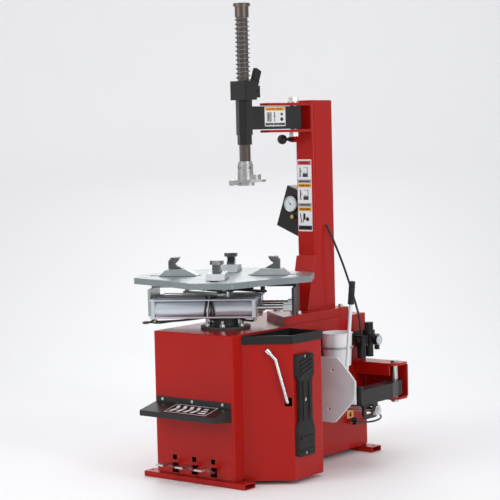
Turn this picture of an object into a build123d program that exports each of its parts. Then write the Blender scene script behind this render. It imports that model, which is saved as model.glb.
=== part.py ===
"""Swing-arm tire changer: steel cabinet with a clamping turntable, a rear column that carries the
swinging mount-head arm, and a bead breaker on the right side.

The frame has +Z up, the pedals at -Y and the bead breaker at +X. The origin is on the floor, at
the centre of the four floor anchor holes.
"""
import os
from math import cos, hypot, radians, sin, tan

from build123d import *

os.makedirs("parts", exist_ok=True)

# ---------------------------------------------------------------- driving dimensions (mm)
SHEET = 3.0                       # cabinet sheet
CAB_W, CAB_D = 390.0, 900.0       # cabinet footprint
RAIL_H, RAIL_B, RAIL_L = 22.0, 66.0, 504.0
FRAME_T = 6.0                     # floor frame under the cabinet
CAB_Z0 = RAIL_H + FRAME_T
CAB_TOP = 580.0
WALL_X = CAB_W / 2                # outer face of the right wall
FRONT_Y, REAR_Y = -CAB_D / 2, CAB_D / 2
ANCHOR_X, ANCHOR_Y, ANCHOR_R = 236.0, 428.0, 7.0

TABLE_Y = -240.0                  # turntable axis
TABLE_Z = 787.0                   # top face of the turntable
TABLE_T = 12.0
TABLE_TIP_R = 347.0
TABLE_TURN = -59.0                # heading of the front jaw
JAW_R = 190.0                     # jaw face radius at rest
SPINDLE_R = 33.0
CAM_R = 105.0                     # pitch radius of the cam plate pins
CAM_Z, LINK_T = 730.0, 8.0        # cam plate level; plate and link thickness
LINK_HIGH, LINK_LOW = 742.0, 718.0
CYL_Z, CYL_R, CYL_OFF = 668.0, 37.0, 92.0

COL_X, COL_Y = 105.0, 232.0       # column axis
COL_W, COL_D, COL_TOP = 90.0, 144.0, 1467.0
BASE_T = 36.0                     # column base platform
BASE_Z = CAB_TOP + BASE_T

PIVOT_X, PIVOT_Y = 100.0, 102.0   # swing arm pivot
ARM_Z0, ARM_Z1 = 1353.0, 1443.0
SHAFT_X, SHAFT_Y = 95.0, -212.0   # hexagon shaft axis
HEX_AF = 38.0
BLOCK_Z0, BLOCK_Z1 = 1468.0, 1541.0
SPRING_TOP = 1786.0
SHAFT_TOP, SHAFT_END = 1828.0, 1166.0

POCKET_Z0, POCKET_Z1, LIP_Z = 16.0, 540.0, 572.0
POCKET_X = 350.0                  # outer face of the side pocket
PAD_T = 20.0

BREAKER_X, BREAKER_Y = 372.0, 392.0   # bead breaker arm pivot
BARM_Z0, BARM_Z1 = 258.0, 318.0
BARM_X1, BARM_FRONT = 424.0, 84.0
ROD_Y, ROD_Z, ROD_R = 150.0, 232.0, 11.0
BLADE_Y, BLADE_MID_Z, BLADE_BEND = 56.0, 320.0, 330.0

PEDAL_Y, PEDAL_Z = -330.0, 56.0   # pedal shaft
PEDAL_X = (-98.0, 0.0, 94.0)


def save(part, node):
    """Name the piece and write it to its own file."""
    part.label = node
    export_step(part, f"parts/{node}.step")


def at_table(radius, turn, side=0.0):
    """Point in plan at a radius and sideways offset from the turntable axis, for a jaw heading."""
    a = radians(turn)
    return (radius * cos(a) - side * sin(a), TABLE_Y + radius * sin(a) + side * cos(a))


def hex_radius(across_flats):
    """Corner radius of a hexagon."""
    return across_flats / 2 / cos(radians(30))


# ---------------------------------------------------------------- floor rails and floor frame
with BuildPart() as base_frame:
    for sign in (-1, 1):
        with BuildSketch(Plane.YZ.offset(-RAIL_L / 2)):
            with Locations((sign * ANCHOR_Y, RAIL_H / 2)):
                RectangleRounded(RAIL_B, RAIL_H, 4)
                RectangleRounded(RAIL_B - 6, RAIL_H - 6, 1.5, mode=Mode.SUBTRACT)
        extrude(amount=RAIL_L)
    with BuildSketch(Plane.XY.offset(RAIL_H)):
        Rectangle(CAB_W - 12, CAB_D - 12)
        Rectangle(CAB_W - 110, CAB_D - 180, mode=Mode.SUBTRACT)
    extrude(amount=FRAME_T)
    with Locations((0, 0, RAIL_H)):
        with GridLocations(2 * ANCHOR_X, 2 * ANCHOR_Y, 2, 2):
            Hole(ANCHOR_R, depth=RAIL_H)
save(base_frame.part, "base_frame")

# ---------------------------------------------------------------- cabinet shell
with BuildPart() as cabinet_shell:
    with BuildSketch(Plane.XY.offset(CAB_Z0)):
        RectangleRounded(CAB_W, CAB_D, 9)
    extrude(amount=CAB_TOP - CAB_Z0)
    fillet(cabinet_shell.faces().sort_by(Axis.Z)[-1].edges(), 4)
    with BuildSketch(Plane.XY.offset(CAB_Z0)):
        RectangleRounded(CAB_W - 2 * SHEET, CAB_D - 2 * SHEET, 6)
    extrude(amount=CAB_TOP - CAB_Z0 - SHEET, mode=Mode.SUBTRACT)
    # rear service opening
    with Locations((0, REAR_Y, 300)):
        Box(CAB_W - 70, 20, 470, mode=Mode.SUBTRACT)
    # spindle hole and its bolt circle
    with Locations((0, TABLE_Y, CAB_TOP)):
        Cylinder(52, 20, mode=Mode.SUBTRACT)
    # pedal slots: one wide slot and one small window for each pedal
    for x in PEDAL_X:
        with Locations((x, FRONT_Y, 49)):
            Box(34, 20, 38, mode=Mode.SUBTRACT)
        with Locations((x - 2, FRONT_Y, 90)):
            Box(22, 20, 20, mode=Mode.SUBTRACT)
    # bead breaker rod slot in the right wall
    with BuildSketch(Plane.YZ.offset(WALL_X - 10)):
        with Locations((ROD_Y, ROD_Z)):
            SlotOverall(64, 34)
    extrude(amount=20, mode=Mode.SUBTRACT)
save(cabinet_shell.part, "cabinet_shell")

with BuildPart() as rear_cover:
    with Locations((0, REAR_Y + 1.5, 300)):
        Box(CAB_W - 40, 3, 500)
    with Locations((0, REAR_Y + 1.5, 430)):
        with GridLocations(1, 18, 1, 7):
            Box(180, 10, 5, mode=Mode.SUBTRACT)
    with BuildSketch(Plane.XZ.offset(-REAR_Y - 3)):
        with Locations((120, 150)):
            Circle(9)
    extrude(amount=10, both=True, mode=Mode.SUBTRACT)
save(rear_cover.part, "rear_cover")

# ---------------------------------------------------------------- side pocket with its tool tray
pocket_points = ((WALL_X, -385), (316, -292), (POCKET_X, -272), (POCKET_X, -85), (WALL_X, -85))

with BuildPart() as side_pocket:
    with BuildSketch(Plane.XY.offset(POCKET_Z0)) as pocket_plan:
        with BuildLine():
            Polyline(*pocket_points, close=True)
        make_face()
    extrude(amount=POCKET_Z1 - POCKET_Z0)
    fillet(side_pocket.edges().filter_by(Axis.Z).filter_by_position(Axis.X, 300, 360), 6)
    with BuildSketch(Plane.XY.offset(POCKET_Z0 + SHEET)):
        add(pocket_plan.sketch)
        offset(amount=-SHEET, kind=Kind.INTERSECTION, mode=Mode.REPLACE)
    extrude(amount=POCKET_Z1, mode=Mode.SUBTRACT)
    # slot that the tip of the pry bar drops into
    with Locations((332, -283, 318)):
        Box(26, 26, 34, mode=Mode.SUBTRACT)
save(side_pocket.part, "side_pocket")

with BuildPart() as tool_tray:
    with BuildSketch(Plane.XY.offset(POCKET_Z1)):
        add(pocket_plan.sketch)
        offset(amount=4, kind=Kind.INTERSECTION, mode=Mode.REPLACE)
    extrude(amount=LIP_Z - POCKET_Z1)
    fillet(tool_tray.faces().sort_by(Axis.Z)[-1].edges(), 2.5)
    with BuildSketch(Plane.XY.offset(500)):
        add(pocket_plan.sketch)
        offset(amount=-SHEET - 1, kind=Kind.INTERSECTION, mode=Mode.REPLACE)
    extrude(amount=POCKET_Z1 - 500)
    with BuildSketch(Plane.XY.offset(504)):
        add(pocket_plan.sketch)
        offset(amount=-SHEET - 4, kind=Kind.INTERSECTION, mode=Mode.REPLACE)
    extrude(amount=LIP_Z, mode=Mode.SUBTRACT)
    # one divider across the tray
    with Locations((262, -196, 530)):
        Box(118, 4, 56)
    # the back edge lies flat on the cabinet wall
    with Locations((WALL_X - 50, -235, 540)):
        Box(100, 500, 200, mode=Mode.SUBTRACT)
save(tool_tray.part, "tool_tray")

# ---------------------------------------------------------------- rubber bead pad
PAD_Y, PAD_TOP, PAD_BOTTOM = -216.0, 496.0, 106.0
PAD_SCREW_Z = (487, 322, 119)
pad_half = ((PAD_TOP, 51), (418, 52), (396, 38), (242, 38), (208, 51), (PAD_BOTTOM, 49))

with BuildPart() as bead_pad:
    with BuildSketch(Plane.YZ.offset(POCKET_X)) as pad_outline:
        with BuildLine():
            left = [(PAD_Y - w, z) for z, w in pad_half]
            right = [(PAD_Y + w, z) for z, w in reversed(pad_half)]
            Polyline(*left, *right, close=True)
        make_face()
        fillet(pad_outline.vertices(), 7)
    extrude(amount=PAD_T)
    # diagonal ribs on the top block, ridges down the waist, a bar on the foot
    with BuildSketch(Plane.YZ.offset(POCKET_X + PAD_T)):
        with Locations((PAD_Y, 452)):
            with GridLocations(1, 17, 1, 4):
                Rectangle(82, 8, rotation=18)
        with Locations((PAD_Y - 19, 318), (PAD_Y + 19, 318)):
            Rectangle(10, 150)
        with Locations((PAD_Y, 176), (PAD_Y, 126)):
            Rectangle(78, 10)
    extrude(amount=4)
    with Locations(*[Location((POCKET_X + PAD_T, PAD_Y, z), (0, 90, 0)) for z in PAD_SCREW_Z]):
        Cylinder(9, 14, mode=Mode.SUBTRACT)
save(bead_pad.part, "bead_pad")

# ---------------------------------------------------------------- pry bar resting on the pocket
BAR_R = 7.0
bar_points = ((286, -331, 506), (304, -319, 482), (340, -298, 318), (326, -274, 316))
with BuildPart() as pry_bar:
    with BuildLine() as bar_path:
        FilletPolyline(*bar_points, radius=10)
    with BuildSketch(Plane(origin=bar_path.wire() @ 0, z_dir=bar_path.wire() % 0)):
        Circle(BAR_R)
    sweep()
    with BuildSketch(Plane(origin=bar_path.wire() @ 0, z_dir=bar_path.wire() % 0)):
        Circle(11)
    extrude(amount=-20)
save(pry_bar.part, "pry_bar")

# ---------------------------------------------------------------- pedal hood
HOOD_W, HOOD_Z, HOOD_REACH, HOOD_DROP = 372.0, 303.0, 100.0, 22.0
with BuildPart() as pedal_hood:
    with BuildSketch(Plane.YZ):
        with BuildLine():
            Polyline((FRONT_Y - 1.5, HOOD_Z + 22), (FRONT_Y - 1.5, HOOD_Z),
                     (FRONT_Y - HOOD_REACH, HOOD_Z - HOOD_DROP),
                     (FRONT_Y - HOOD_REACH, HOOD_Z - HOOD_DROP - 20))
        trace(line_width=3)
    extrude(amount=HOOD_W / 2, both=True)
    for x in (-HOOD_W / 2, HOOD_W / 2 - 3):
        with BuildSketch(Plane.YZ.offset(x)):
            with BuildLine():
                Polyline((FRONT_Y, HOOD_Z), (FRONT_Y - HOOD_REACH, HOOD_Z - HOOD_DROP),
                         (FRONT_Y - HOOD_REACH, HOOD_Z - HOOD_DROP - 20), (FRONT_Y, HOOD_Z - 52),
                         close=True)
            make_face()
        extrude(amount=3)
save(pedal_hood.part, "pedal_hood")

# ---------------------------------------------------------------- pedals, their shaft and valves
for node, x in zip(("clamp_pedal", "breaker_pedal", "turntable_pedal"), PEDAL_X):
    with BuildPart() as pedal:
        with BuildSketch(Plane.YZ.offset(x - 12)):
            with BuildLine():
                Polyline((PEDAL_Y, PEDAL_Z), (FRONT_Y - 14, 51), (FRONT_Y - 44, 74),
                         (FRONT_Y - 92, 74))
            trace(line_width=7)
        extrude(amount=24)
        with Locations((x, FRONT_Y - 64, 74)):
            Box(36, 62, 7)
        with Locations(Location((x, PEDAL_Y, PEDAL_Z), (0, 90, 0))):
            Cylinder(13, 24)
            Cylinder(6.06, 40, mode=Mode.SUBTRACT)
        # heel that works the valve spool
        with Locations((x, PEDAL_Y + 26, PEDAL_Z + 2)):
            Box(16, 34, 8)
    save(pedal.part, node)

with BuildPart() as pedal_frame:
    with Locations((0, PEDAL_Y + 50, CAB_Z0 + 2)):
        Box(300, 180, 4)
    for x in (-148, -49, 47, 146):
        with Locations((x, PEDAL_Y, 52)):
            Box(4, 40, 44)
    with Locations(Location((0, PEDAL_Y, PEDAL_Z), (0, 90, 0))):
        Cylinder(6, 304)
    # one air valve or switch behind each pedal
    for x in PEDAL_X:
        with Locations((x, PEDAL_Y + 95, 62)):
            Box(46, 80, 60)
        with Locations(Location((x, PEDAL_Y + 95, 92), (0, 0, 0))):
            Cylinder(8, 16)
save(pedal_frame.part, "pedal_frame")

# ---------------------------------------------------------------- column base, gusset and column
GUSSET_TOP, GUSSET_REACH = 836.0, 56.0
KNOB_X, KNOB_Z = COL_X - 62.0, 1311.0
COL_FRONT = COL_Y - COL_D / 2
with BuildPart() as column:
    # base platform, hollow underneath
    with BuildSketch(Plane.XY.offset(CAB_TOP)):
        with BuildLine():
            Polyline((187, -106), (187, 336), (-16, 336), (-16, 46), close=True)
        make_face()
    extrude(amount=BASE_T)
    fillet(column.faces().sort_by(Axis.Z)[-1].edges(), 3)
    with BuildSketch(Plane.XY.offset(CAB_TOP)):
        with BuildLine():
            Polyline((181, -93), (181, 330), (-10, 330), (-10, 49), close=True)
        make_face()
    extrude(amount=BASE_T - 6, mode=Mode.SUBTRACT)
    # upright tube
    with BuildSketch(Plane.XY.offset(BASE_Z)):
        with Locations((COL_X, COL_Y)):
            RectangleRounded(COL_W, COL_D, 14)
    extrude(amount=COL_TOP - BASE_Z)
    fillet(column.faces().sort_by(Axis.Z)[-1].edges(), 6)
    # sloping gusset in front
    with BuildSketch(Plane.YZ.offset(COL_X - COL_W / 2)):
        with BuildLine():
            Polyline((COL_FRONT + 20, BASE_Z), (COL_FRONT + 20, GUSSET_TOP), (COL_FRONT - 5, GUSSET_TOP),
                     (COL_FRONT - GUSSET_REACH, BASE_Z + 12), (COL_FRONT - GUSSET_REACH, BASE_Z), close=True)
        make_face()
    extrude(amount=COL_W)
    with BuildSketch(Plane.XY.offset(BASE_Z)):
        with Locations((COL_X, COL_Y)):
            RectangleRounded(COL_W - 10, COL_D - 10, 9)
    extrude(amount=COL_TOP - BASE_Z - 6, mode=Mode.SUBTRACT)
    # threaded lug for the arm stop
    with Locations((COL_X - 45 - 11, COL_FRONT + 14, KNOB_Z)):
        Box(28, 22, 26)
    with Locations(Location((KNOB_X, COL_FRONT - 8, KNOB_Z), (90, 0, 0))):
        Cylinder(6, 80, mode=Mode.SUBTRACT)
save(column.part, "column")

HUB_TOP = CAB_TOP + 10
with BuildPart() as fasteners:
    for x, y in ((165, 20), (165, 312), (8, 312), (8, 80)):
        with BuildSketch(Plane.XY.offset(BASE_Z)):
            with Locations((x, y)):
                Circle(15)
        extrude(amount=3)
        with BuildSketch(Plane.XY.offset(BASE_Z + 3)):
            with Locations((x, y)):
                RegularPolygon(hex_radius(19), 6)
        extrude(amount=9)
    with BuildSketch(Plane.XY.offset(HUB_TOP)):
        with Locations((0, TABLE_Y)):
            with PolarLocations(78, 6):
                RegularPolygon(hex_radius(19), 6)
    extrude(amount=10)
    with BuildSketch(Plane.XY.offset(HUB_TOP + 10)):
        with Locations((0, TABLE_Y)):
            with PolarLocations(78, 6):
                Circle(6)
    extrude(amount=14)
    # screws of the rear cover, hood and bead pad
    with BuildSketch(Plane.XZ.offset(-REAR_Y - 3)):
        with Locations((0, 300)):
            with GridLocations(CAB_W - 56, 230, 2, 3):
                Circle(6)
    extrude(amount=-4)
    with BuildSketch(Plane.XZ.offset(-FRONT_Y + 3)):
        with Locations((0, HOOD_Z + 13)):
            with GridLocations(150, 1, 3, 1):
                Circle(6)
    extrude(amount=4)
    with BuildSketch(Plane.YZ.offset(POCKET_X + PAD_T - 7)):
        with Locations(*[(PAD_Y, z) for z in PAD_SCREW_Z]):
            Circle(7.5)
    extrude(amount=4)
save(fasteners.part, "fasteners")

# ---------------------------------------------------------------- swing arm bracket and pivot
BOSS_R, PIN_R = 32.0, 16.0
with BuildPart() as arm_bracket:
    for z in (1340, 1446):
        with BuildSketch(Plane.XY.offset(z)) as bracket_plan:
            with BuildLine():
                Polyline((COL_X - 44, COL_Y - COL_D / 2), (COL_X + 44, COL_Y - COL_D / 2),
                         (PIVOT_X + 40, PIVOT_Y - 50), (PIVOT_X + 22, PIVOT_Y - 190),
                         (PIVOT_X - 30, PIVOT_Y - 190), (PIVOT_X - 42, PIVOT_Y - 50), close=True)
            make_face()
            fillet(bracket_plan.vertices().sort_by(Axis.Y)[:2], 14)
        extrude(amount=10)
    with Locations((COL_X, COL_Y - COL_D / 2 - 4, 1398)):
        Box(88, 8, 96)
    with Locations((PIVOT_X, PIVOT_Y, 1400)):
        Cylinder(PIN_R + 0.05, 200, mode=Mode.SUBTRACT)
save(arm_bracket.part, "arm_bracket")

with BuildPart() as pivot_pins:
    with BuildSketch(Plane.XY.offset(1330)):
        with Locations((PIVOT_X, PIVOT_Y)):
            Circle(PIN_R)
    extrude(amount=1458 - 1330)
    with BuildSketch(Plane.XY.offset(1456)):
        with Locations((PIVOT_X, PIVOT_Y)):
            Circle(24)
    extrude(amount=6)
    with BuildSketch(Plane.XY.offset(1462)):
        with Locations((PIVOT_X, PIVOT_Y)):
            RegularPolygon(hex_radius(36), 6)
    extrude(amount=18)
    with BuildSketch(Plane.XY.offset(1322)):
        with Locations((PIVOT_X, PIVOT_Y)):
            RegularPolygon(hex_radius(36), 6)
    extrude(amount=18)
    # bead breaker pin
    with BuildSketch(Plane.XY.offset(226)):
        with Locations((BREAKER_X, BREAKER_Y)):
            Circle(14)
    extrude(amount=392 - 226)
    for z in (228, 388):
        with BuildSketch(Plane.XY.offset(z)):
            with Locations((BREAKER_X, BREAKER_Y)):
                RegularPolygon(hex_radius(32), 6)
        extrude(amount=10)
save(pivot_pins.part, "pivot_pins")

# ---------------------------------------------------------------- swing arm with its hexagon sleeve
SLEEVE_Z0 = 1333.0
with BuildPart() as swing_arm:
    with BuildSketch(Plane.XY.offset(ARM_Z0)):
        with BuildLine():
            Polyline((PIVOT_X - 32, PIVOT_Y), (PIVOT_X + 32, PIVOT_Y), (SHAFT_X + 26, SHAFT_Y),
                     (SHAFT_X - 26, SHAFT_Y), close=True)
        make_face()
        with Locations((PIVOT_X, PIVOT_Y)):
            Circle(BOSS_R)
    extrude(amount=ARM_Z1 - ARM_Z0)
    with BuildSketch(Plane.XY.offset(SLEEVE_Z0)):
        with Locations((SHAFT_X, SHAFT_Y)):
            RegularPolygon(hex_radius(56), 6, rotation=30)
    extrude(amount=BLOCK_Z0 - SLEEVE_Z0)
    with BuildSketch(Plane.XY.offset(SLEEVE_Z0 - 38)):
        with Locations((SHAFT_X, SHAFT_Y)):
            RegularPolygon(hex_radius(49), 6, rotation=30)
    extrude(amount=38)
    with BuildSketch(Plane.XY.offset(SLEEVE_Z0 - 40)):
        with Locations((SHAFT_X, SHAFT_Y)):
            RegularPolygon(hex_radius(HEX_AF + 0.8), 6, rotation=30)
        with Locations((PIVOT_X, PIVOT_Y)):
            Circle(PIN_R + 0.06)
    extrude(amount=400, mode=Mode.SUBTRACT)
save(swing_arm.part, "swing_arm")

with BuildPart() as lock_block:
    with BuildSketch(Plane.XY.offset(BLOCK_Z0)):
        with Locations((SHAFT_X, SHAFT_Y)):
            Rectangle(84, 76)
            RegularPolygon(hex_radius(HEX_AF + 0.8), 6, rotation=30, mode=Mode.SUBTRACT)
    extrude(amount=BLOCK_Z1 - BLOCK_Z0)
    chamfer(lock_block.edges().filter_by(Axis.Z).filter_by_position(Axis.X, SHAFT_X - 43, SHAFT_X - 41), 8)
    chamfer(lock_block.edges().filter_by(Axis.Z).filter_by_position(Axis.X, SHAFT_X + 41, SHAFT_X + 43), 8)
    # ears for the lock lever, behind the block
    with Locations((SHAFT_X - 24, SHAFT_Y + 52, 1500), (SHAFT_X + 24, SHAFT_Y + 52, 1500)):
        Box(10, 30, 46)
    with Locations(Location((SHAFT_X, SHAFT_Y + 54, 1502), (0, 90, 0))):
        Cylinder(5.05, 70, mode=Mode.SUBTRACT)
save(lock_block.part, "lock_block")

LEVER_Y, LEVER_Z = SHAFT_Y + 54, 1502.0
with BuildPart() as lock_lever:
    with BuildSketch(Plane.YZ.offset(SHAFT_X - 17)):
        with BuildLine():
            Polyline((LEVER_Y, LEVER_Z), (LEVER_Y + 10, LEVER_Z + 22), (LEVER_Y + 19, LEVER_Z + 42))
        trace(line_width=15)
        with Locations((LEVER_Y, LEVER_Z)):
            Circle(13)
    extrude(amount=34)
    with Locations(Location((SHAFT_X, LEVER_Y, LEVER_Z), (0, 90, 0))):
        Cylinder(5, 62)
    # moulded grip
    with BuildSketch(Plane(origin=(SHAFT_X, LEVER_Y + 13, LEVER_Z + 30), z_dir=(0, 14, 33))):
        RectangleRounded(38, 22, 8)
    extrude(amount=60)
    fillet(lock_lever.faces().sort_by(Axis.Z)[-1].edges(), 5)
save(lock_lever.part, "lock_lever")

# ---------------------------------------------------------------- arm stop knob on the column
with BuildPart() as stop_knob:
    with Locations(Location((KNOB_X, COL_FRONT - 16, KNOB_Z), (90, 0, 0))):
        Cylinder(5.5, 60)
    with Locations((KNOB_X, COL_FRONT - 62, KNOB_Z)):
        Sphere(20)
    with Locations(Location((KNOB_X, COL_FRONT - 10, KNOB_Z), (90, 0, 0))):
        Cylinder(10, 8)
save(stop_knob.part, "stop_knob")

# ---------------------------------------------------------------- hexagon shaft, spring and cap
with BuildPart() as hex_shaft:
    with BuildSketch(Plane.XY.offset(SHAFT_END)):
        with Locations((SHAFT_X, SHAFT_Y)):
            RegularPolygon(hex_radius(HEX_AF), 6, rotation=30)
    extrude(amount=SHAFT_TOP - SHAFT_END)
    chamfer(hex_shaft.faces().sort_by(Axis.Z)[-1].edges(), 2)
save(hex_shaft.part, "hex_shaft")

SPRING_COILS, SPRING_WIRE = 14, 2.2
SPRING_H = SPRING_TOP - BLOCK_Z1 - 2 * SPRING_WIRE - 1
with BuildPart() as shaft_spring:
    with BuildLine() as coil:
        Helix(pitch=SPRING_H / SPRING_COILS, height=SPRING_H, radius=26.5,
              center=(SHAFT_X, SHAFT_Y, BLOCK_Z1 + SPRING_WIRE + 0.5))
    with BuildSketch(Plane(origin=coil.wire() @ 0, z_dir=coil.wire() % 0)):
        Circle(SPRING_WIRE)
    sweep(is_frenet=True)
save(shaft_spring.part, "shaft_spring")

with BuildPart() as shaft_cap:
    with BuildSketch(Plane.XY.offset(SPRING_TOP)):
        with Locations((SHAFT_X, SHAFT_Y)):
            Circle(27)
    extrude(amount=SHAFT_TOP - SPRING_TOP)
    with BuildSketch(Plane.XY.offset(SHAFT_TOP)):
        with Locations((SHAFT_X, SHAFT_Y)):
            Circle(33)
    extrude(amount=12)
    fillet(shaft_cap.faces().sort_by(Axis.Z)[-1].edges(), 3)
    with BuildSketch(Plane.XY.offset(SPRING_TOP)):
        with Locations((SHAFT_X, SHAFT_Y)):
            RegularPolygon(hex_radius(HEX_AF), 6, rotation=30)
    extrude(amount=SHAFT_TOP - SPRING_TOP, mode=Mode.SUBTRACT)
save(shaft_cap.part, "shaft_cap")

# ---------------------------------------------------------------- mount head
COLLAR_Z0, COLLAR_Z1, RING_Z1 = 1190.0, 1222.0, 1231.0
with BuildPart() as head_collar:
    with BuildSketch(Plane.XY.offset(COLLAR_Z1)):
        with Locations((SHAFT_X, SHAFT_Y)):
            Circle(27)
    extrude(amount=RING_Z1 - COLLAR_Z1)
    with BuildSketch(Plane.XY.offset(COLLAR_Z0)):
        with Locations((SHAFT_X, SHAFT_Y)):
            Circle(30)
    extrude(amount=COLLAR_Z1 - COLLAR_Z0)
    # clamping screws round the collar
    for turn in (-100, -20, 140):
        with Locations(Location((SHAFT_X + 30 * cos(radians(turn)), SHAFT_Y + 30 * sin(radians(turn)),
                                 1207), (0, 90, turn))):
            Cylinder(6, 10)
    with BuildSketch(Plane.XY.offset(COLLAR_Z0)):
        with Locations((SHAFT_X, SHAFT_Y)):
            RegularPolygon(hex_radius(HEX_AF), 6, rotation=30)
    extrude(amount=RING_Z1 - COLLAR_Z0, mode=Mode.SUBTRACT)
save(head_collar.part, "head_collar")

HEAD_TURN = 38.0                  # the lip points to the right and rear
head_plane = Plane(origin=(SHAFT_X, SHAFT_Y, 0), z_dir=(0, 0, 1),
                   x_dir=(cos(radians(HEAD_TURN)), sin(radians(HEAD_TURN)), 0))
ROLLER = head_plane * Location((-54, -4, 1148), (90, 0, 0))
with BuildPart() as mount_head:
    # body under the collar, longer on the lip's side
    with BuildSketch(Plane.XY.offset(1158)):
        with Locations((SHAFT_X, SHAFT_Y)):
            Circle(31)
    extrude(amount=COLLAR_Z0 - 1158)
    with BuildSketch(head_plane.offset(1158)):
        with Locations((16, 0)):
            RectangleRounded(88, 52, 24)
    extrude(amount=22)
    # duck-bill wing that reaches out past the body, with a rounded nose below
    with BuildSketch(head_plane.offset(1150)) as wing:
        with BuildLine():
            Polyline((-36, -22), (18, -32), (62, -22), (82, 0), (60, 18), (10, 30), (-36, 20), close=True)
        make_face()
        fillet(wing.vertices(), 8)
    extrude(amount=10)
    with BuildSketch(head_plane.offset(1137)):
        with Locations((2, -4)):
            Ellipse(32, 17)
    extrude(amount=16)
    # fork for the roller
    for side in (-19, 11):
        with BuildSketch(head_plane.offset(1140)):
            with Locations((-44, side)):
                Rectangle(40, 7)
        extrude(amount=18)
    with BuildSketch(Plane.XY.offset(SHAFT_END)):
        with Locations((SHAFT_X, SHAFT_Y)):
            RegularPolygon(hex_radius(HEX_AF), 6, rotation=30)
    extrude(amount=COLLAR_Z0 - SHAFT_END, mode=Mode.SUBTRACT)
    with Locations(ROLLER):
        Cylinder(4.06, 60, mode=Mode.SUBTRACT)
save(mount_head.part, "mount_head")

with BuildPart() as head_roller:
    with Locations(ROLLER):
        Cylinder(4, 37)
        Cylinder(11, 21)
save(head_roller.part, "head_roller")

# ---------------------------------------------------------------- turntable top
SLOT_W, SLOT_IN, SLOT_OUT = 34.0, 92.0, 300.0
with BuildPart() as table_top:
    with BuildSketch(Plane.XY.offset(TABLE_Z - TABLE_T)) as star:
        with BuildLine():
            outline = []
            for k in range(4):
                heading = TABLE_TURN + 90 * k
                outline += [at_table(TABLE_TIP_R, heading, -78), at_table(TABLE_TIP_R, heading, 78),
                            at_table(288, heading + 45, 0)]
            Polyline(*outline, close=True)
        make_face()
        fillet(star.vertices(), 14)
    extrude(amount=TABLE_T)
    fillet(table_top.faces().sort_by(Axis.Z)[-1].edges(), 3)
    # folded rim under the edge
    with BuildSketch(Plane.XY.offset(TABLE_Z - 24)):
        add(star.sketch)
        offset(star.sketch, amount=-7, mode=Mode.SUBTRACT)
    extrude(amount=24 - TABLE_T)
    # radial slots for the jaws
    for k in range(4):
        heading = TABLE_TURN + 90 * k
        x, y = at_table((SLOT_IN + SLOT_OUT) / 2, heading)
        with Locations(Location((x, y, TABLE_Z), (0, 0, heading))):
            Box(SLOT_OUT - SLOT_IN, SLOT_W, 60, mode=Mode.SUBTRACT)
    # guide bars welded under the top hold the jaw sliders
    for k in range(4):
        heading = TABLE_TURN + 90 * k
        for side in (-1, 1):
            x, y = at_table(196, heading, side * 38)
            with Locations(Location((x, y, 764), (0, 0, heading))):
                Box(190, 12, 22)
save(table_top.part, "table_top")

with BuildPart() as table_spindle:
    with BuildSketch(Plane.XY.offset(560)):
        with Locations((0, TABLE_Y)):
            Circle(SPINDLE_R)
    extrude(amount=763 - 560)
    with BuildSketch(Plane.XY.offset(751)):
        with Locations((0, TABLE_Y)):
            Circle(62)
    extrude(amount=TABLE_Z - TABLE_T - 751)
    # worm wheel keyed to its lower end
    with BuildSketch(Plane.XY.offset(505)):
        with Locations((0, TABLE_Y)):
            Circle(66)
            with PolarLocations(66, 36):
                Rectangle(8, 5)
    extrude(amount=30)
    with BuildSketch(Plane.XY.offset(486)):
        with Locations((0, TABLE_Y)):
            Circle(28)
    extrude(amount=74)
save(table_spindle.part, "table_spindle")

# ---------------------------------------------------------------- cam plate that ties the jaws together
with BuildPart() as cam_plate:
    with BuildSketch(Plane.XY.offset(CAM_Z)) as cam_plan:
        with Locations((0, TABLE_Y)):
            Rectangle(166, 166, rotation=TABLE_TURN + 45)
        fillet(cam_plan.vertices(), 14)
        with Locations((0, TABLE_Y)):
            Circle(SPINDLE_R + 0.08, mode=Mode.SUBTRACT)
    extrude(amount=LINK_T)
    # pins rise to the upper links and drop to the lower ones
    for k in range(4):
        low, high = ((LINK_LOW, CAM_Z), (CAM_Z, LINK_HIGH + LINK_T))[k % 2]
        with BuildSketch(Plane.XY.offset(low)):
            with Locations(at_table(CAM_R, TABLE_TURN + 90 * k)):
                Circle(9)
        extrude(amount=high - low)
save(cam_plate.part, "cam_plate")

# ---------------------------------------------------------------- jaws: slider, link and steel claw
JAW_NAMES = ("front_jaw", "right_jaw", "rear_jaw", "left_jaw")
LINK_FOOT = 150.0                 # radius of the link's fixed end
HANGER_REACH = {"left_jaw": 278.0, "right_jaw": 274.0}

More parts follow.
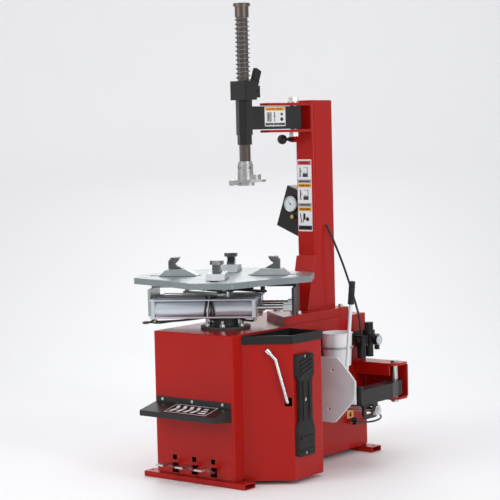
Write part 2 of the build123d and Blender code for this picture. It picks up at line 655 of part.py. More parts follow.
for k, name in enumerate(JAW_NAMES):
    heading = TABLE_TURN + 90 * k
    radial = Plane(origin=(0, TABLE_Y, 0), x_dir=(cos(radians(heading)), sin(radians(heading)), 0),
                   z_dir=(0, 0, 1))
    upright = Plane(origin=(0, TABLE_Y, 0), x_dir=radial.x_dir, z_dir=(radial.x_dir.Y, -radial.x_dir.X, 0))

    link_z = (LINK_HIGH, LINK_LOW)[k % 2]
    with BuildPart() as jaw:
        # block under the top, neck through the slot and the hump on the top
        with BuildSketch(radial.offset(754)):
            with Locations((JAW_R - 4, 0)):
                Rectangle(96, 62)
        extrude(amount=19)
        with BuildSketch(radial.offset(773)):
            with Locations((JAW_R - 4, 0)):
                Rectangle(84, SLOT_W - 2)
        extrude(amount=16)
        with BuildSketch(upright):
            with BuildLine():
                Polyline((JAW_R - 88, TABLE_Z + 1), (JAW_R + 66, TABLE_Z + 1), (JAW_R + 40, TABLE_Z + 24),
                         (JAW_R - 38, TABLE_Z + 28), close=True)
            make_face()
        extrude(amount=36, both=True)
        # straight bar to the cam pin; its eye is a slot across the jaw's travel
        with BuildSketch(radial.offset(link_z)):
            with BuildLine():
                run = hypot(LINK_FOOT, CAM_R)
                nx, ny = CAM_R / run * 12, LINK_FOOT / run * 12
                Polyline((LINK_FOOT + nx, ny), (nx, CAM_R + ny), (-nx, CAM_R - ny), (LINK_FOOT - nx, -ny),
                         close=True)
            make_face()
            with Locations((LINK_FOOT, 0)):
                Circle(16)
            with Locations((0, CAM_R - 6)):
                SlotOverall(56, 38, rotation=90)
                SlotOverall(38, 21, rotation=90, mode=Mode.SUBTRACT)
        extrude(amount=LINK_T)
        with BuildSketch(radial.offset(link_z)):
            with Locations((LINK_FOOT, 0)):
                Circle(9)
        extrude(amount=754 - link_z)
        # the left and right jaws carry the clamping cylinders on a hanger
        if name in HANGER_REACH:
            reach = HANGER_REACH[name]
            with BuildSketch(radial.offset(742)):
                with Locations(((reach + 178) / 2, 0)):
                    Rectangle(reach - 158, 44)
            extrude(amount=12)
            with BuildSketch(radial.offset(742)):
                with Locations((reach + 5, 0)):
                    Rectangle(10, 2 * CYL_OFF + 28)
            extrude(amount=CYL_Z - 742 - 30)
    save(jaw.part, name)

    with BuildPart() as claw:
        # claw stands on the hump; its serrated lip leans toward the centre
        with BuildSketch(upright):
            with BuildLine():
                Polyline((JAW_R - 26, TABLE_Z + 28), (JAW_R + 30, TABLE_Z + 26), (JAW_R + 30, TABLE_Z + 58),
                         (JAW_R + 18, TABLE_Z + 73), (JAW_R - 14, TABLE_Z + 73), (JAW_R - 6, TABLE_Z + 56),
                         (JAW_R + 6, TABLE_Z + 46), close=True)
            make_face()
        extrude(amount=15, both=True)
        with BuildSketch(upright):
            with BuildLine():
                Polyline((JAW_R - 14, TABLE_Z + 73), (JAW_R + 18, TABLE_Z + 73), (JAW_R + 22, TABLE_Z + 58),
                         (JAW_R - 6, TABLE_Z + 58), close=True)
            make_face()
        extrude(amount=25, both=True)
        for s in (-18, -9, 0, 9, 18):
            with BuildSketch(radial.offset(TABLE_Z + 56)):
                with Locations((JAW_R - 12, s)):
                    Rectangle(7, 3)
            extrude(amount=30, mode=Mode.SUBTRACT)
    save(claw.part, f"{name}_claw")

# ---------------------------------------------------------------- clamping cylinders under the table
# The barrels hang from the left jaw and the rods from the right jaw, along their common line.
CYL_TURN = TABLE_TURN + 90
cyl_line = Plane(origin=(0, TABLE_Y, CYL_Z), x_dir=(0, 0, 1),
                 z_dir=(cos(radians(CYL_TURN)), sin(radians(CYL_TURN)), 0))
BARREL_A, BARREL_B = -258.0, 122.0
ROD_TIP = 246.0
ROD_INSIDE, STROKE = 130.0, 100.0   # rod inside the barrel at rest, and how far it can go in
sides = ((0, -CYL_OFF), (0, CYL_OFF))
# the barrel line's local X is up, so its local Y runs sideways

with BuildPart() as clamp_barrels:
    with BuildSketch(cyl_line.offset(BARREL_A)):
        with Locations(*sides):
            Circle(CYL_R)
    extrude(amount=BARREL_B - BARREL_A)
    for a in (BARREL_A - 14, BARREL_B):
        with BuildSketch(cyl_line.offset(a)):
            with Locations(*sides):
                RectangleRounded(80, 80, 8)
        extrude(amount=14)
    with BuildSketch(cyl_line.offset(BARREL_B - ROD_INSIDE - STROKE - 6)):
        with Locations(*sides):
            Circle(9.5)
    extrude(amount=ROD_INSIDE + STROKE + 40, mode=Mode.SUBTRACT)
    # tie rods between the end caps
    with BuildSketch(cyl_line.offset(BARREL_A - 20)):
        for _, s in sides:
            with Locations((34, s - 34), (34, s + 34), (-34, s - 34), (-34, s + 34)):
                Circle(4)
    extrude(amount=BARREL_B - BARREL_A + 40)
save(clamp_barrels.part, "clamp_barrels")

with BuildPart() as clamp_rods:
    with BuildSketch(cyl_line.offset(BARREL_B - ROD_INSIDE)):
        with Locations(*sides):
            Circle(9)
    extrude(amount=ROD_TIP - BARREL_B + ROD_INSIDE)
    with BuildSketch(cyl_line.offset(ROD_TIP - 6)):
        with Locations(*sides):
            RectangleRounded(30, 30, 5)
    extrude(amount=34)
save(clamp_rods.part, "clamp_rods")

# ---------------------------------------------------------------- gearbox, motor and belt
GEAR_TOP, GEAR_BOTTOM = 574.0, 470.0
WORM_Y, WORM_Z, WORM_PULLEY = TABLE_Y + 92.0, 520.0, 46.0
with BuildPart() as gearbox_case:
    # hub and its flange above the cabinet top
    with BuildSketch(Plane.XY.offset(CAB_TOP)):
        with Locations((0, TABLE_Y)):
            Circle(98)
    extrude(amount=10)
    with BuildSketch(Plane.XY.offset(GEAR_TOP - 4)):
        with Locations((0, TABLE_Y)):
            Circle(50)
    extrude(amount=CAB_TOP + 50 - GEAR_TOP + 4)
    with Locations((0, TABLE_Y + 30, (GEAR_TOP + GEAR_BOTTOM) / 2)):
        Box(210, 230, GEAR_TOP - GEAR_BOTTOM)
    fillet(gearbox_case.edges().filter_by(Axis.Z), 16)
    with Locations((0, TABLE_Y + 30, (GEAR_TOP + GEAR_BOTTOM) / 2)):
        Box(190, 210, GEAR_TOP - GEAR_BOTTOM - 20, mode=Mode.SUBTRACT)
    with Locations((0, TABLE_Y, GEAR_TOP)):
        Cylinder(SPINDLE_R + 0.08, 160, mode=Mode.SUBTRACT)
    with Locations(Location((110, WORM_Y, WORM_Z), (0, 90, 0))):
        Cylinder(11.1, 60, mode=Mode.SUBTRACT)
save(gearbox_case.part, "gearbox_case")

with BuildPart() as worm_shaft:
    with Locations(Location((20, WORM_Y, WORM_Z), (0, 90, 0))):
        Cylinder(11, 220)
    with Locations(Location((0, WORM_Y, WORM_Z), (0, 90, 0))):
        Cylinder(19, 90)
    with BuildSketch(Plane.YZ.offset(126)):
        with Locations((WORM_Y, WORM_Z)):
            Circle(WORM_PULLEY)
    extrude(amount=20)
save(worm_shaft.part, "worm_shaft")

MOTOR_Y, MOTOR_Z, MOTOR_PULLEY = WORM_Y + 40.0, 330.0, 34.0
with BuildPart() as drive_motor:
    with Locations(Location((10, MOTOR_Y, MOTOR_Z), (0, 90, 0))):
        Cylinder(72, 190)
    with Locations((10, MOTOR_Y, MOTOR_Z - 80)):
        Box(170, 120, 20)
    with Locations((10, MOTOR_Y + 80, MOTOR_Z + 20)):
        Box(90, 50, 60)
    # shelf between the cabinet walls
    with Locations((0, MOTOR_Y + 6, MOTOR_Z - 94)):
        Box(CAB_W - 2 * SHEET, 180, 8)
    with Locations(Location((110, MOTOR_Y, MOTOR_Z), (0, 90, 0))):
        Cylinder(9.06, 30, mode=Mode.SUBTRACT)
save(drive_motor.part, "drive_motor")

with BuildPart() as motor_pulley:
    with Locations(Location((121, MOTOR_Y, MOTOR_Z), (0, 90, 0))):
        Cylinder(9, 50)
    with BuildSketch(Plane.YZ.offset(126)):
        with Locations((MOTOR_Y, MOTOR_Z)):
            Circle(MOTOR_PULLEY)
    extrude(amount=20)
save(motor_pulley.part, "motor_pulley")

with BuildPart() as drive_belt:
    for grow, mode in ((8, Mode.ADD), (0.6, Mode.SUBTRACT)):
        with BuildSketch(Plane.YZ.offset(131)):
            with Locations((WORM_Y, WORM_Z)):
                Circle(WORM_PULLEY + grow)
            with Locations((MOTOR_Y, MOTOR_Z)):
                Circle(MOTOR_PULLEY + grow)
            make_hull()
        extrude(amount=10, mode=mode)
save(drive_belt.part, "drive_belt")

# ---------------------------------------------------------------- bead breaker
with BuildPart() as breaker_bracket:
    # channel welded to the rear of the right wall, with a front apron above the arm
    for z in (238, 378):
        with BuildSketch(Plane.XY.offset(z)) as lug_plan:
            with BuildLine():
                Polyline((WALL_X, 352), (BREAKER_X + 10, 352), (BREAKER_X + 34, 378), (BREAKER_X + 34, 440),
                         (WALL_X, 440), close=True)
            make_face()
            fillet(lug_plan.vertices().sort_by(Axis.X)[-3:], 10)
            with Locations((BREAKER_X, BREAKER_Y)):
                Circle(14.06, mode=Mode.SUBTRACT)
        extrude(amount=10)
    with Locations((WALL_X + 3, 396, 313)):
        Box(6, 88, 130)
    with Locations(((WALL_X + BREAKER_X + 34) / 2, 437, 313)):
        Box(BREAKER_X + 34 - WALL_X, 6, 130)
    with Locations(((WALL_X + BREAKER_X) / 2, 355, 358)):
        Box(BREAKER_X - WALL_X, 6, 40)
save(breaker_bracket.part, "breaker_bracket")

with BuildPart() as breaker_arm:
    with BuildSketch(Plane.XY.offset(BARM_Z0)):
        with BuildLine():
            Polyline((BREAKER_X - 26, BREAKER_Y), (BREAKER_X + 26, BREAKER_Y), (BARM_X1, 300),
                     (BARM_X1, BARM_FRONT), (BARM_X1 - 62, BARM_FRONT), (BARM_X1 - 62, 300), close=True)
        make_face()
        with Locations((BREAKER_X, BREAKER_Y)):
            Circle(30)
            Circle(14.1, mode=Mode.SUBTRACT)
    extrude(amount=BARM_Z1 - BARM_Z0)
    # channel open on the underside, ahead of the pivot
    with Locations((BARM_X1 - 31, 200, BARM_Z0 + 20)):
        Box(46, 200, 60, mode=Mode.SUBTRACT)
    # end plate that carries the blade, and the slotted lug for the cylinder rod
    with Locations((BARM_X1 - 40, BARM_FRONT - 5, (BARM_Z0 + BARM_Z1) / 2 + 8)):
        Box(80, 10, 76)
    with BuildSketch(Plane.YZ.offset(BARM_X1 - 12)):
        with BuildLine():
            Polyline((90, BARM_Z0 + 10), (90, 214), (102, 200), (176, 200), (188, 214), (188, BARM_Z0 + 10),
                     close=True)
        make_face()
        with Locations((ROD_Y - 16, ROD_Z)):
            SlotOverall(66, 30, mode=Mode.SUBTRACT)
    extrude(amount=12)
    with Locations(Location((BARM_X1 - 40, BARM_FRONT - 5, 300), (90, 0, 0))):
        Cylinder(8.06, 70, mode=Mode.SUBTRACT)
save(breaker_arm.part, "breaker_arm")

HANDLE_A, HANDLE_B = Vector(360, BLADE_Y + 4, 340), Vector(398, BLADE_Y - 6, 662)
with BuildPart() as breaker_blade:
    with BuildSketch(Plane.XZ.offset(-BLADE_Y - 20)) as blade_outline:
        with BuildLine():
            Polyline((238, 450), (348, 450), (414, 357), (407, 284), (330, 192), (219, 190), (213, 206),
                     close=True)
        make_face()
        fillet(blade_outline.vertices(), 9)
        with Locations((310, 397), (292, 241)):
            Circle(7, mode=Mode.SUBTRACT)
    extrude(amount=140)
    with BuildSketch(Plane.YZ.offset(200)):
        with Locations((BLADE_Y - BLADE_BEND, BLADE_MID_Z)):
            Circle(BLADE_BEND)
            Circle(BLADE_BEND - 9, mode=Mode.SUBTRACT)
    extrude(amount=300, mode=Mode.INTERSECT)
    # holder behind the blade with the swivel stud
    with Locations((380, BLADE_Y + 4.5, 306)):
        Box(52, 11, 84)
    with Locations(Location((BARM_X1 - 40, BARM_FRONT - 2, 300), (90, 0, 0))):
        Cylinder(8, 46)
    # handle rod
    with BuildSketch(Plane(origin=HANDLE_A, z_dir=HANDLE_B - HANDLE_A)):
        Circle(7)
    extrude(amount=(HANDLE_B - HANDLE_A).length)
save(breaker_blade.part, "breaker_blade")

with BuildPart() as handle_grip:
    with BuildSketch(Plane(origin=HANDLE_B, z_dir=HANDLE_B - HANDLE_A)):
        Circle(13)
    extrude(amount=92)
    fillet(handle_grip.edges().filter_by(GeomType.CIRCLE), 3)
save(handle_grip.part, "handle_grip")

with BuildPart() as breaker_cylinder:
    with Locations(Location((-10, ROD_Y, ROD_Z), (0, 90, 0))):
        Cylinder(96, 250)
    for x in (-140, 118):
        with Locations(Location((x, ROD_Y, ROD_Z), (0, 90, 0))):
            Cylinder(102, 12)
    with Locations(Location((100, ROD_Y, ROD_Z), (0, 90, 0))):
        Cylinder(ROD_R + 0.08, 180, mode=Mode.SUBTRACT)
    # saddle that stands on the floor frame
    with Locations((0, ROD_Y, CAB_Z0 + 55)):
        Box(330, 60, 110)
save(breaker_cylinder.part, "breaker_cylinder")

with BuildPart() as breaker_rod:
    with Locations(Location(((20 + BARM_X1 + 34) / 2, ROD_Y, ROD_Z), (0, 90, 0))):
        Cylinder(ROD_R, BARM_X1 + 34 - 20)
    with BuildSketch(Plane.YZ.offset(BARM_X1 + 7)):
        with Locations((ROD_Y, ROD_Z)):
            RegularPolygon(hex_radius(38), 6)
    extrude(amount=20)
save(breaker_rod.part, "breaker_rod")

# ---------------------------------------------------------------- soap bucket in its ring
BUCKET_X, BUCKET_Y = WALL_X + 69.0, 140.0
with BuildPart() as soap_bucket:
    with BuildSketch(Plane.XZ.offset(-BUCKET_Y)):
        with BuildLine():
            Polyline((BUCKET_X, 402), (BUCKET_X + 55, 402), (BUCKET_X + 61, 530), (BUCKET_X + 64, 530),
                     (BUCKET_X + 64, 534), (BUCKET_X + 59, 534), (BUCKET_X + 52, 405), (BUCKET_X, 405),
                     close=True)
        make_face()
    revolve(axis=Axis((BUCKET_X, BUCKET_Y, 0), (0, 0, 1)))
save(soap_bucket.part, "soap_bucket")

with BuildPart() as bucket_ring:
    with BuildSketch(Plane.XY.offset(472)):
        with Locations((BUCKET_X, BUCKET_Y)):
            Circle(65)
            Circle(60, mode=Mode.SUBTRACT)
    extrude(amount=6)
    with Locations((WALL_X + 2, BUCKET_Y, 475)):
        Box(4, 60, 30)
    with BuildSketch(Plane.XY.offset(396)):
        with Locations((BUCKET_X - 22, BUCKET_Y)):
            Rectangle(94, 30)
    extrude(amount=5)
    with Locations((WALL_X + 2, BUCKET_Y, 430)):
        Box(4, 30, 70)
save(bucket_ring.part, "bucket_ring")

# ---------------------------------------------------------------- air preparation unit
UNIT_X, UNIT_Z = 248.0, 476.0
with BuildPart() as air_unit:
    with Locations((UNIT_X, 392, UNIT_Z), (UNIT_X, 336, UNIT_Z)):
        Box(42, 42, 44)
    fillet(air_unit.edges().filter_by(Axis.Z), 5)
    with Locations(Location((UNIT_X, 364, UNIT_Z + 4), (90, 0, 0))):
        Cylinder(11, 130)
    with Locations((WALL_X + 2.5, 364, UNIT_Z + 10)):
        Box(5, 120, 40)
    with Locations((WALL_X + 20, 364, UNIT_Z + 10)):
        Box(36, 26, 6)
    with Locations(Location((UNIT_X + 26, 392, UNIT_Z), (0, 90, 0))):
        Cylinder(7, 14)
    # bowls
    with BuildSketch(Plane.XY.offset(UNIT_Z - 22)):
        with Locations((UNIT_X, 392), (UNIT_X, 336)):
            Circle(18)
    extrude(amount=-48)
    # inlet elbow and coupler
    with Locations(Location((UNIT_X, 438, UNIT_Z + 4), (90, 0, 0))):
        Cylinder(9, 28)
    with BuildSketch(Plane.XY.offset(UNIT_Z - 48)):
        with Locations((UNIT_X, 450)):
            Circle(11)
    extrude(amount=64)
save(air_unit.part, "air_unit")

with BuildPart() as regulator_knob:
    with BuildSketch(Plane.XY.offset(UNIT_Z + 24)):
        with Locations((UNIT_X, 392)):
            Circle(25)
    extrude(amount=16)
    with BuildSketch(Plane.XY.offset(UNIT_Z + 38)):
        with Locations((UNIT_X, 392)):
            Circle(16)
            with PolarLocations(16, 12):
                Circle(2)
    extrude(amount=34)
save(regulator_knob.part, "regulator_knob")

# ---------------------------------------------------------------- inflation gauge box on the column
with BuildPart() as gauge_box:
    # a box that leans to the right, with its side on the column
    with BuildSketch(Plane.XZ.offset(-243)):
        with BuildLine():
            Polyline((-1, 1123), (-60, 957), (59.5, 908), (59.5, 1101), close=True)
        make_face()
    extrude(amount=62)
    fillet(gauge_box.edges(), 4)
    with Locations((59.2, 212, 1030)):
        Box(1.4, 50, 60)
    with Locations(Location((34, 181, 994), (90, 0, 0))):
        Cylinder(8.06, 24, mode=Mode.SUBTRACT)
save(gauge_box.part, "gauge_box")

with BuildPart() as pressure_gauges:
    with Locations(Location((24, 175, 1046), (90, 0, 0))):
        Cylinder(33, 12)
    with Locations(Location((UNIT_X + 42, 392, UNIT_Z), (0, 90, 0))):
        Cylinder(21, 18)
save(pressure_gauges.part, "pressure_gauges")

with BuildPart() as inflate_button:
    with Locations(Location((34, 173.5, 994), (90, 0, 0))):
        Cylinder(8, 22)
save(inflate_button.part, "inflate_button")

# ---------------------------------------------------------------- power cord, plug and air hoses
CORD_R, HOSE_R = 4.0, 4.5


def routed(points):
    """Corner radii that leave a straight run on both sides of every bend."""
    radii = []
    for a, b, c in zip(points, points[1:], points[2:]):
        u, v = Vector(*b) - Vector(*a), Vector(*c) - Vector(*b)
        turn = radians(u.get_angle(v))
        radii.append(0.45 * min(u.length, v.length) / tan(turn / 2))
    return radii


cord_points = ((120, 456, 150), (124, 506, 149), (160, 542, 144), (208, 534, 134), (232, 490, 126),
               (228, 440, 122), (220, 392, 126), (216, 346, 136))
cord_radii = routed(cord_points)
print("cord bend radii", [round(r, 1) for r in cord_radii])
with BuildPart() as power_cord:
    with BuildLine() as cord_path:
        FilletPolyline(*cord_points, radius=cord_radii)
    with BuildSketch(Plane(origin=cord_path.wire() @ 0, z_dir=cord_path.wire() % 0)):
        Circle(CORD_R)
    sweep()
save(power_cord.part, "power_cord")

plug_dir = Vector(*cord_points[-1]) - Vector(*cord_points[-2])
with BuildPart() as cord_plug:
    with BuildSketch(Plane(origin=cord_points[-1], z_dir=plug_dir)):
        RectangleRounded(24, 30, 6)
    extrude(amount=42)
save(cord_plug.part, "cord_plug")

hose_points = ((156, 236, 960), (176, 250, 900), (196, 280, 812), (212, 306, 724), (224, 330, 640),
               (240, 338, 570), (248, 337, 505))
hose_radii = routed(hose_points)
print("hose bend radii", [round(r, 1) for r in hose_radii])
with BuildPart() as air_hose:
    with BuildLine() as hose_path:
        FilletPolyline(*hose_points, radius=hose_radii)
    with BuildSketch(Plane(origin=hose_path.wire() @ 0, z_dir=hose_path.wire() % 0)):
        Circle(HOSE_R)
    sweep()
save(air_hose.part, "air_hose")
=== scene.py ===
"""Looks of the swing-arm tire changer: paint, steel, rubber, labels, dials, hoses and the power cord."""

from math import cos, pi, radians, sin

import bmesh
import bpy
from mathutils import Matrix, Vector


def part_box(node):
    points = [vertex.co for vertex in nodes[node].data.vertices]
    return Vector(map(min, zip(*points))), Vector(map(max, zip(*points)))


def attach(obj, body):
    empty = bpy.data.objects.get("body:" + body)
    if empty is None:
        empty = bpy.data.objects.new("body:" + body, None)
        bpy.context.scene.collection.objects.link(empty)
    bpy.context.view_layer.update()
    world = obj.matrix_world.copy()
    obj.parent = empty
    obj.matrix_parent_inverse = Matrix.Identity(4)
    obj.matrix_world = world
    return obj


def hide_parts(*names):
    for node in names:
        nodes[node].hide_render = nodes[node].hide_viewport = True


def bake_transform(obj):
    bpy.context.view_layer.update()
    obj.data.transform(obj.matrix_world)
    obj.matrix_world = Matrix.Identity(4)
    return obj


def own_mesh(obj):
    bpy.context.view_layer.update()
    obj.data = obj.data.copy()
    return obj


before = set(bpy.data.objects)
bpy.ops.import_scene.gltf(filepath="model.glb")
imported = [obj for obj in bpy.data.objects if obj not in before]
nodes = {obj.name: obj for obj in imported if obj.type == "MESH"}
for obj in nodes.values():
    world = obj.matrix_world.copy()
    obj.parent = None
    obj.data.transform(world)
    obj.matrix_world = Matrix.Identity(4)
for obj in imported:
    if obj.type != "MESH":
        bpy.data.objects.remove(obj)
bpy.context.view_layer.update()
scene = bpy.context.scene

# ---------------------------------------------------------------- places on the machine, in metres
TABLE_Y = -0.240                          # turntable axis
FRONT_JAW = radians(-59)                  # heading of the front jaw
SHAFT = Vector((0.095, -0.212, 0))        # axis of the hexagon shaft
SPRING_FOOT, SPRING_TOP = 1.541, 1.786    # heights of the spring's ends
SPRING_RADIUS, SPRING_WIRE, SPRING_TURNS = 0.0265, 0.0022, 14
COLLAR_REACH, COLLAR_SCREW_Z = 0.035, 1.207
COLUMN_FRONT = 0.160                      # front face of the column
HOOD_BACK, HOOD_FRONT = Vector((0, -0.4515, 0.3045)), Vector((0, -0.550, 0.2825))
CYLINDER_Z, CYLINDER_OUT = 0.668, 0.092   # clamping cylinders: height, and distance from the turntable axis
CAP_LOW = 0.0395                          # from a cylinder's axis down to its cap's underside
UNION_RADIUS, UNION_Z = 0.033, 0.648      # fittings round the rotary union
HANDLE_FOOT, HANDLE_TOP = Vector((0.360, 0.060, 0.340)), Vector((0.398, 0.050, 0.662))
UNIT_GAUGE_Y, UNIT_GAUGE_Z = 0.392, 0.476 # gauge of the air preparation unit


# ---------------------------------------------------------------- camera
look = Vector((-0.61883, 0.78220, -0.07222)).normalized()
roll = radians(-1.35)
level = look.cross(Vector((0, 0, 1))).normalized()
upright = level.cross(look)
right = level * cos(roll) + upright * sin(roll)
up = upright * cos(roll) - level * sin(roll)
camera_data = bpy.data.cameras.new("camera")
camera_data.lens, camera_data.sensor_width = 118.04, 36
camera_data.clip_end = 60
camera = bpy.data.objects.new("camera", camera_data)
facing = Matrix((right, up, -look)).transposed().to_4x4()
camera.matrix_world = Matrix.Translation((4.0565, -5.2025, 1.3470)) @ facing
scene.collection.objects.link(camera)
scene.camera = camera


# ---------------------------------------------------------------- materials
def surface(name, base, tint, rough, metal=0.0, mottle=9.0, patch=0.5, grain=260.0, depth=0.12, coat=0.0,
            edge=None, edge_r=0.002, brush=None, spread=0.08, below=None, gleam=0.5):
    """Procedural finish: two tones in soft patches, fine grain in bump and gloss, and edges in a second
    colour: a painted highlight on paint and enamel, wear on bare metal, and on plastic and rubber a lighter
    tone at the edges.

    below is a height in metres and a second colour for everything under it.
    """
    mat = bpy.data.materials.new(name)
    mat.use_nodes = True
    tree = mat.node_tree
    new, link = tree.nodes.new, tree.links.new
    shader = tree.nodes["Principled BSDF"]
    shader.inputs["Metallic"].default_value = metal
    shader.inputs["Coat Weight"].default_value = coat
    shader.inputs["Specular IOR Level"].default_value = gleam
    shader.inputs["Coat Roughness"].default_value = 0.06
    coord = new("ShaderNodeTexCoord")
    patches = new("ShaderNodeTexNoise")
    patches.inputs["Scale"].default_value = mottle
    patches.inputs["Detail"].default_value = 5
    link(coord.outputs["Object"], patches.inputs["Vector"])
    ramp = new("ShaderNodeMapRange")
    ramp.inputs["From Min"].default_value, ramp.inputs["From Max"].default_value = 0.35, 0.7
    ramp.inputs["To Max"].default_value = patch
    link(patches.outputs["Fac"], ramp.inputs["Value"])
    tone = new("ShaderNodeMix")
    tone.data_type = "RGBA"
    tone.inputs["A"].default_value = (*base, 1)
    tone.inputs["B"].default_value = (*tint, 1)
    link(ramp.outputs["Result"], tone.inputs["Factor"])
    colour = tone.outputs["Result"]
    if below:
        height, second = below
        place = new("ShaderNodeSeparateXYZ")
        link(coord.outputs["Object"], place.inputs["Vector"])
        under_it = new("ShaderNodeMath")
        under_it.operation = "LESS_THAN"
        under_it.inputs[1].default_value = height
        link(place.outputs["Z"], under_it.inputs[0])
        two = new("ShaderNodeMix")
        two.data_type = "RGBA"
        two.inputs["B"].default_value = (*second, 1)
        link(under_it.outputs["Value"], two.inputs["Factor"])
        link(colour, two.inputs["A"])
        colour = two.outputs["Result"]

    fine = new("ShaderNodeTexNoise")
    fine.inputs["Scale"].default_value = grain
    fine.inputs["Detail"].default_value = 4
    if brush:
        stretch = new("ShaderNodeMapping")
        stretch.inputs["Scale"].default_value = brush
        link(coord.outputs["Object"], stretch.inputs["Vector"])
        link(stretch.outputs["Vector"], fine.inputs["Vector"])
    else:
        link(coord.outputs["Object"], fine.inputs["Vector"])
    gloss = new("ShaderNodeMapRange")
    gloss.inputs["To Min"].default_value = rough - spread
    gloss.inputs["To Max"].default_value = rough + spread
    link((fine if brush else patches).outputs["Fac"], gloss.inputs["Value"])
    link(gloss.outputs["Result"], shader.inputs["Roughness"])

    bevel = new("ShaderNodeBevel")
    bevel.samples = 4
    bevel.inputs["Radius"].default_value = edge_r
    bump = new("ShaderNodeBump")
    bump.inputs["Strength"].default_value = depth
    bump.inputs["Distance"].default_value = 0.0006
    link(fine.outputs["Fac"], bump.inputs["Height"])
    link(bevel.outputs["Normal"], bump.inputs["Normal"])
    link(bump.outputs["Normal"], shader.inputs["Normal"])
    # edge mask from the bevel normal: a painted highlight on paint and enamel, wear on bare metal
    if edge:
        flat = new("ShaderNodeNewGeometry")
        dot = new("ShaderNodeVectorMath")
        dot.operation = "DOT_PRODUCT"
        link(bevel.outputs["Normal"], dot.inputs[0])
        link(flat.outputs["True Normal"], dot.inputs[1])
        wear_and_highlight_edge = new("ShaderNodeMapRange")
        wear_and_highlight_edge.inputs["From Min"].default_value, wear_and_highlight_edge.inputs["From Max"].default_value = 0.985, 0.86
        link(dot.outputs["Value"], wear_and_highlight_edge.inputs["Value"])
        some = new("ShaderNodeMath")
        some.operation = "MULTIPLY"
        link(wear_and_highlight_edge.outputs["Result"], some.inputs[0])
        link(patches.outputs["Fac"], some.inputs[1])
        wear_and_highlight_mix = new("ShaderNodeMix")
        wear_and_highlight_mix.data_type = "RGBA"
        wear_and_highlight_mix.inputs["B"].default_value = (*edge, 1)
        link(some.outputs["Value"], wear_and_highlight_mix.inputs["Factor"])
        link(colour, wear_and_highlight_mix.inputs["A"])
        colour = wear_and_highlight_mix.outputs["Result"]
    link(colour, shader.inputs["Base Color"])
    return mat


# the light red edge colour is a painted highlight along the paint's edges
red = surface("red_gloss_paint", (0.42, 0.007, 0.004), (0.35, 0.006, 0.003), 0.30, patch=0.8, mottle=1.6,
              grain=420, depth=0.04, coat=0.14, edge=(0.80, 0.16, 0.12), edge_r=0.003, spread=0.03,
              gleam=0.16)
# the lighter edge colour is a painted highlight along the black paint's edges
black_paint = surface("black_satin_paint", (0.013, 0.012, 0.012), (0.026, 0.022, 0.022), 0.36, coat=0.10,
                      grain=380, depth=0.08, edge=(0.08, 0.07, 0.07), gleam=0.3)
dark_steel = surface("oiled_dark_steel", (0.16, 0.125, 0.105), (0.09, 0.08, 0.075), 0.36, metal=0.9,
                     brush=(9, 9, 0.6), grain=90, depth=0.1, edge=(0.5, 0.46, 0.42))
zinc = surface("zinc_plated_steel", (0.62, 0.62, 0.60), (0.42, 0.41, 0.38), 0.30, metal=1.0, mottle=30,
               patch=0.7, grain=300, depth=0.08, edge=(0.9, 0.9, 0.88), edge_r=0.001)
chrome = surface("polished_bar_steel", (0.70, 0.71, 0.72), (0.55, 0.55, 0.56), 0.17, metal=1.0, mottle=20,
                 grain=60, brush=(4, 4, 40), depth=0.03, spread=0.05)
claw_steel = surface("hardened_claw_steel", (0.20, 0.205, 0.21), (0.09, 0.09, 0.095), 0.34, metal=0.9,
                     mottle=45, patch=0.8, grain=330, depth=0.2, edge=(0.62, 0.62, 0.62), edge_r=0.0015)
# the pale edge colour is a painted highlight along the table's enamelled edges
table_grey = surface("table_grey_enamel", (0.25, 0.285, 0.295), (0.18, 0.215, 0.225), 0.30, metal=0.35,
                     mottle=12, patch=0.7, grain=520, depth=0.10, coat=0.35, edge=(0.75, 0.78, 0.80),
                     edge_r=0.003)
plate_steel = surface("bare_plate_steel", (0.78, 0.81, 0.83), (0.64, 0.67, 0.69), 0.42, metal=0.15, mottle=14,
                      patch=0.6, grain=260, depth=0.08, brush=(1, 1, 12), edge=(0.9, 0.9, 0.92))
jaw_steel = surface("jaw_plate_and_black_slide", (0.50, 0.53, 0.54), (0.40, 0.43, 0.44), 0.40, metal=0.3,
                    mottle=20, patch=0.6, grain=300, depth=0.1, edge=(0.6, 0.62, 0.63),
                    below=(0.784, (0.022, 0.022, 0.023)))
# the lighter edge colour is a painted highlight along the enamelled edges
hanger_grey = surface("pale_hanger_enamel", (0.42, 0.48, 0.47), (0.34, 0.40, 0.39), 0.36, metal=0.2,
                      mottle=16,
                      patch=0.6, grain=300, depth=0.08, coat=0.3, edge=(0.7, 0.74, 0.74))
cast = surface("cast_aluminium", (0.46, 0.455, 0.44), (0.30, 0.30, 0.29), 0.38, metal=0.85, mottle=40,
               patch=0.7,
               grain=240, depth=0.28, edge=(0.85, 0.85, 0.84), edge_r=0.0015)
barrel = surface("anodised_barrel", (0.66, 0.70, 0.75), (0.52, 0.56, 0.60), 0.34, metal=0.6, mottle=10,
                 grain=300, depth=0.04, brush=(1.2, 0.7, 22), edge=(0.9, 0.92, 0.95), edge_r=0.001)
iron = surface("grey_cast_iron", (0.10, 0.10, 0.105), (0.055, 0.055, 0.06), 0.55, metal=0.4, mottle=30,
               patch=0.8, grain=190, depth=0.5, edge=(0.22, 0.22, 0.22))
plastic = surface("black_moulded_plastic", (0.010, 0.010, 0.011), (0.020, 0.020, 0.021), 0.40, mottle=14,
                  grain=900, depth=0.16, edge=(0.06, 0.06, 0.06), edge_r=0.0015, gleam=0.3)
rubber = surface("black_rubber", (0.010, 0.010, 0.009), (0.024, 0.022, 0.021), 0.55, mottle=26, patch=0.8,
                 grain=640, depth=0.30, edge=(0.065, 0.062, 0.06), edge_r=0.0015, gleam=0.3)
hose_rubber = surface("hose_rubber", (0.014, 0.014, 0.015), (0.028, 0.028, 0.029), 0.40, mottle=30, grain=500,
                      depth=0.1)
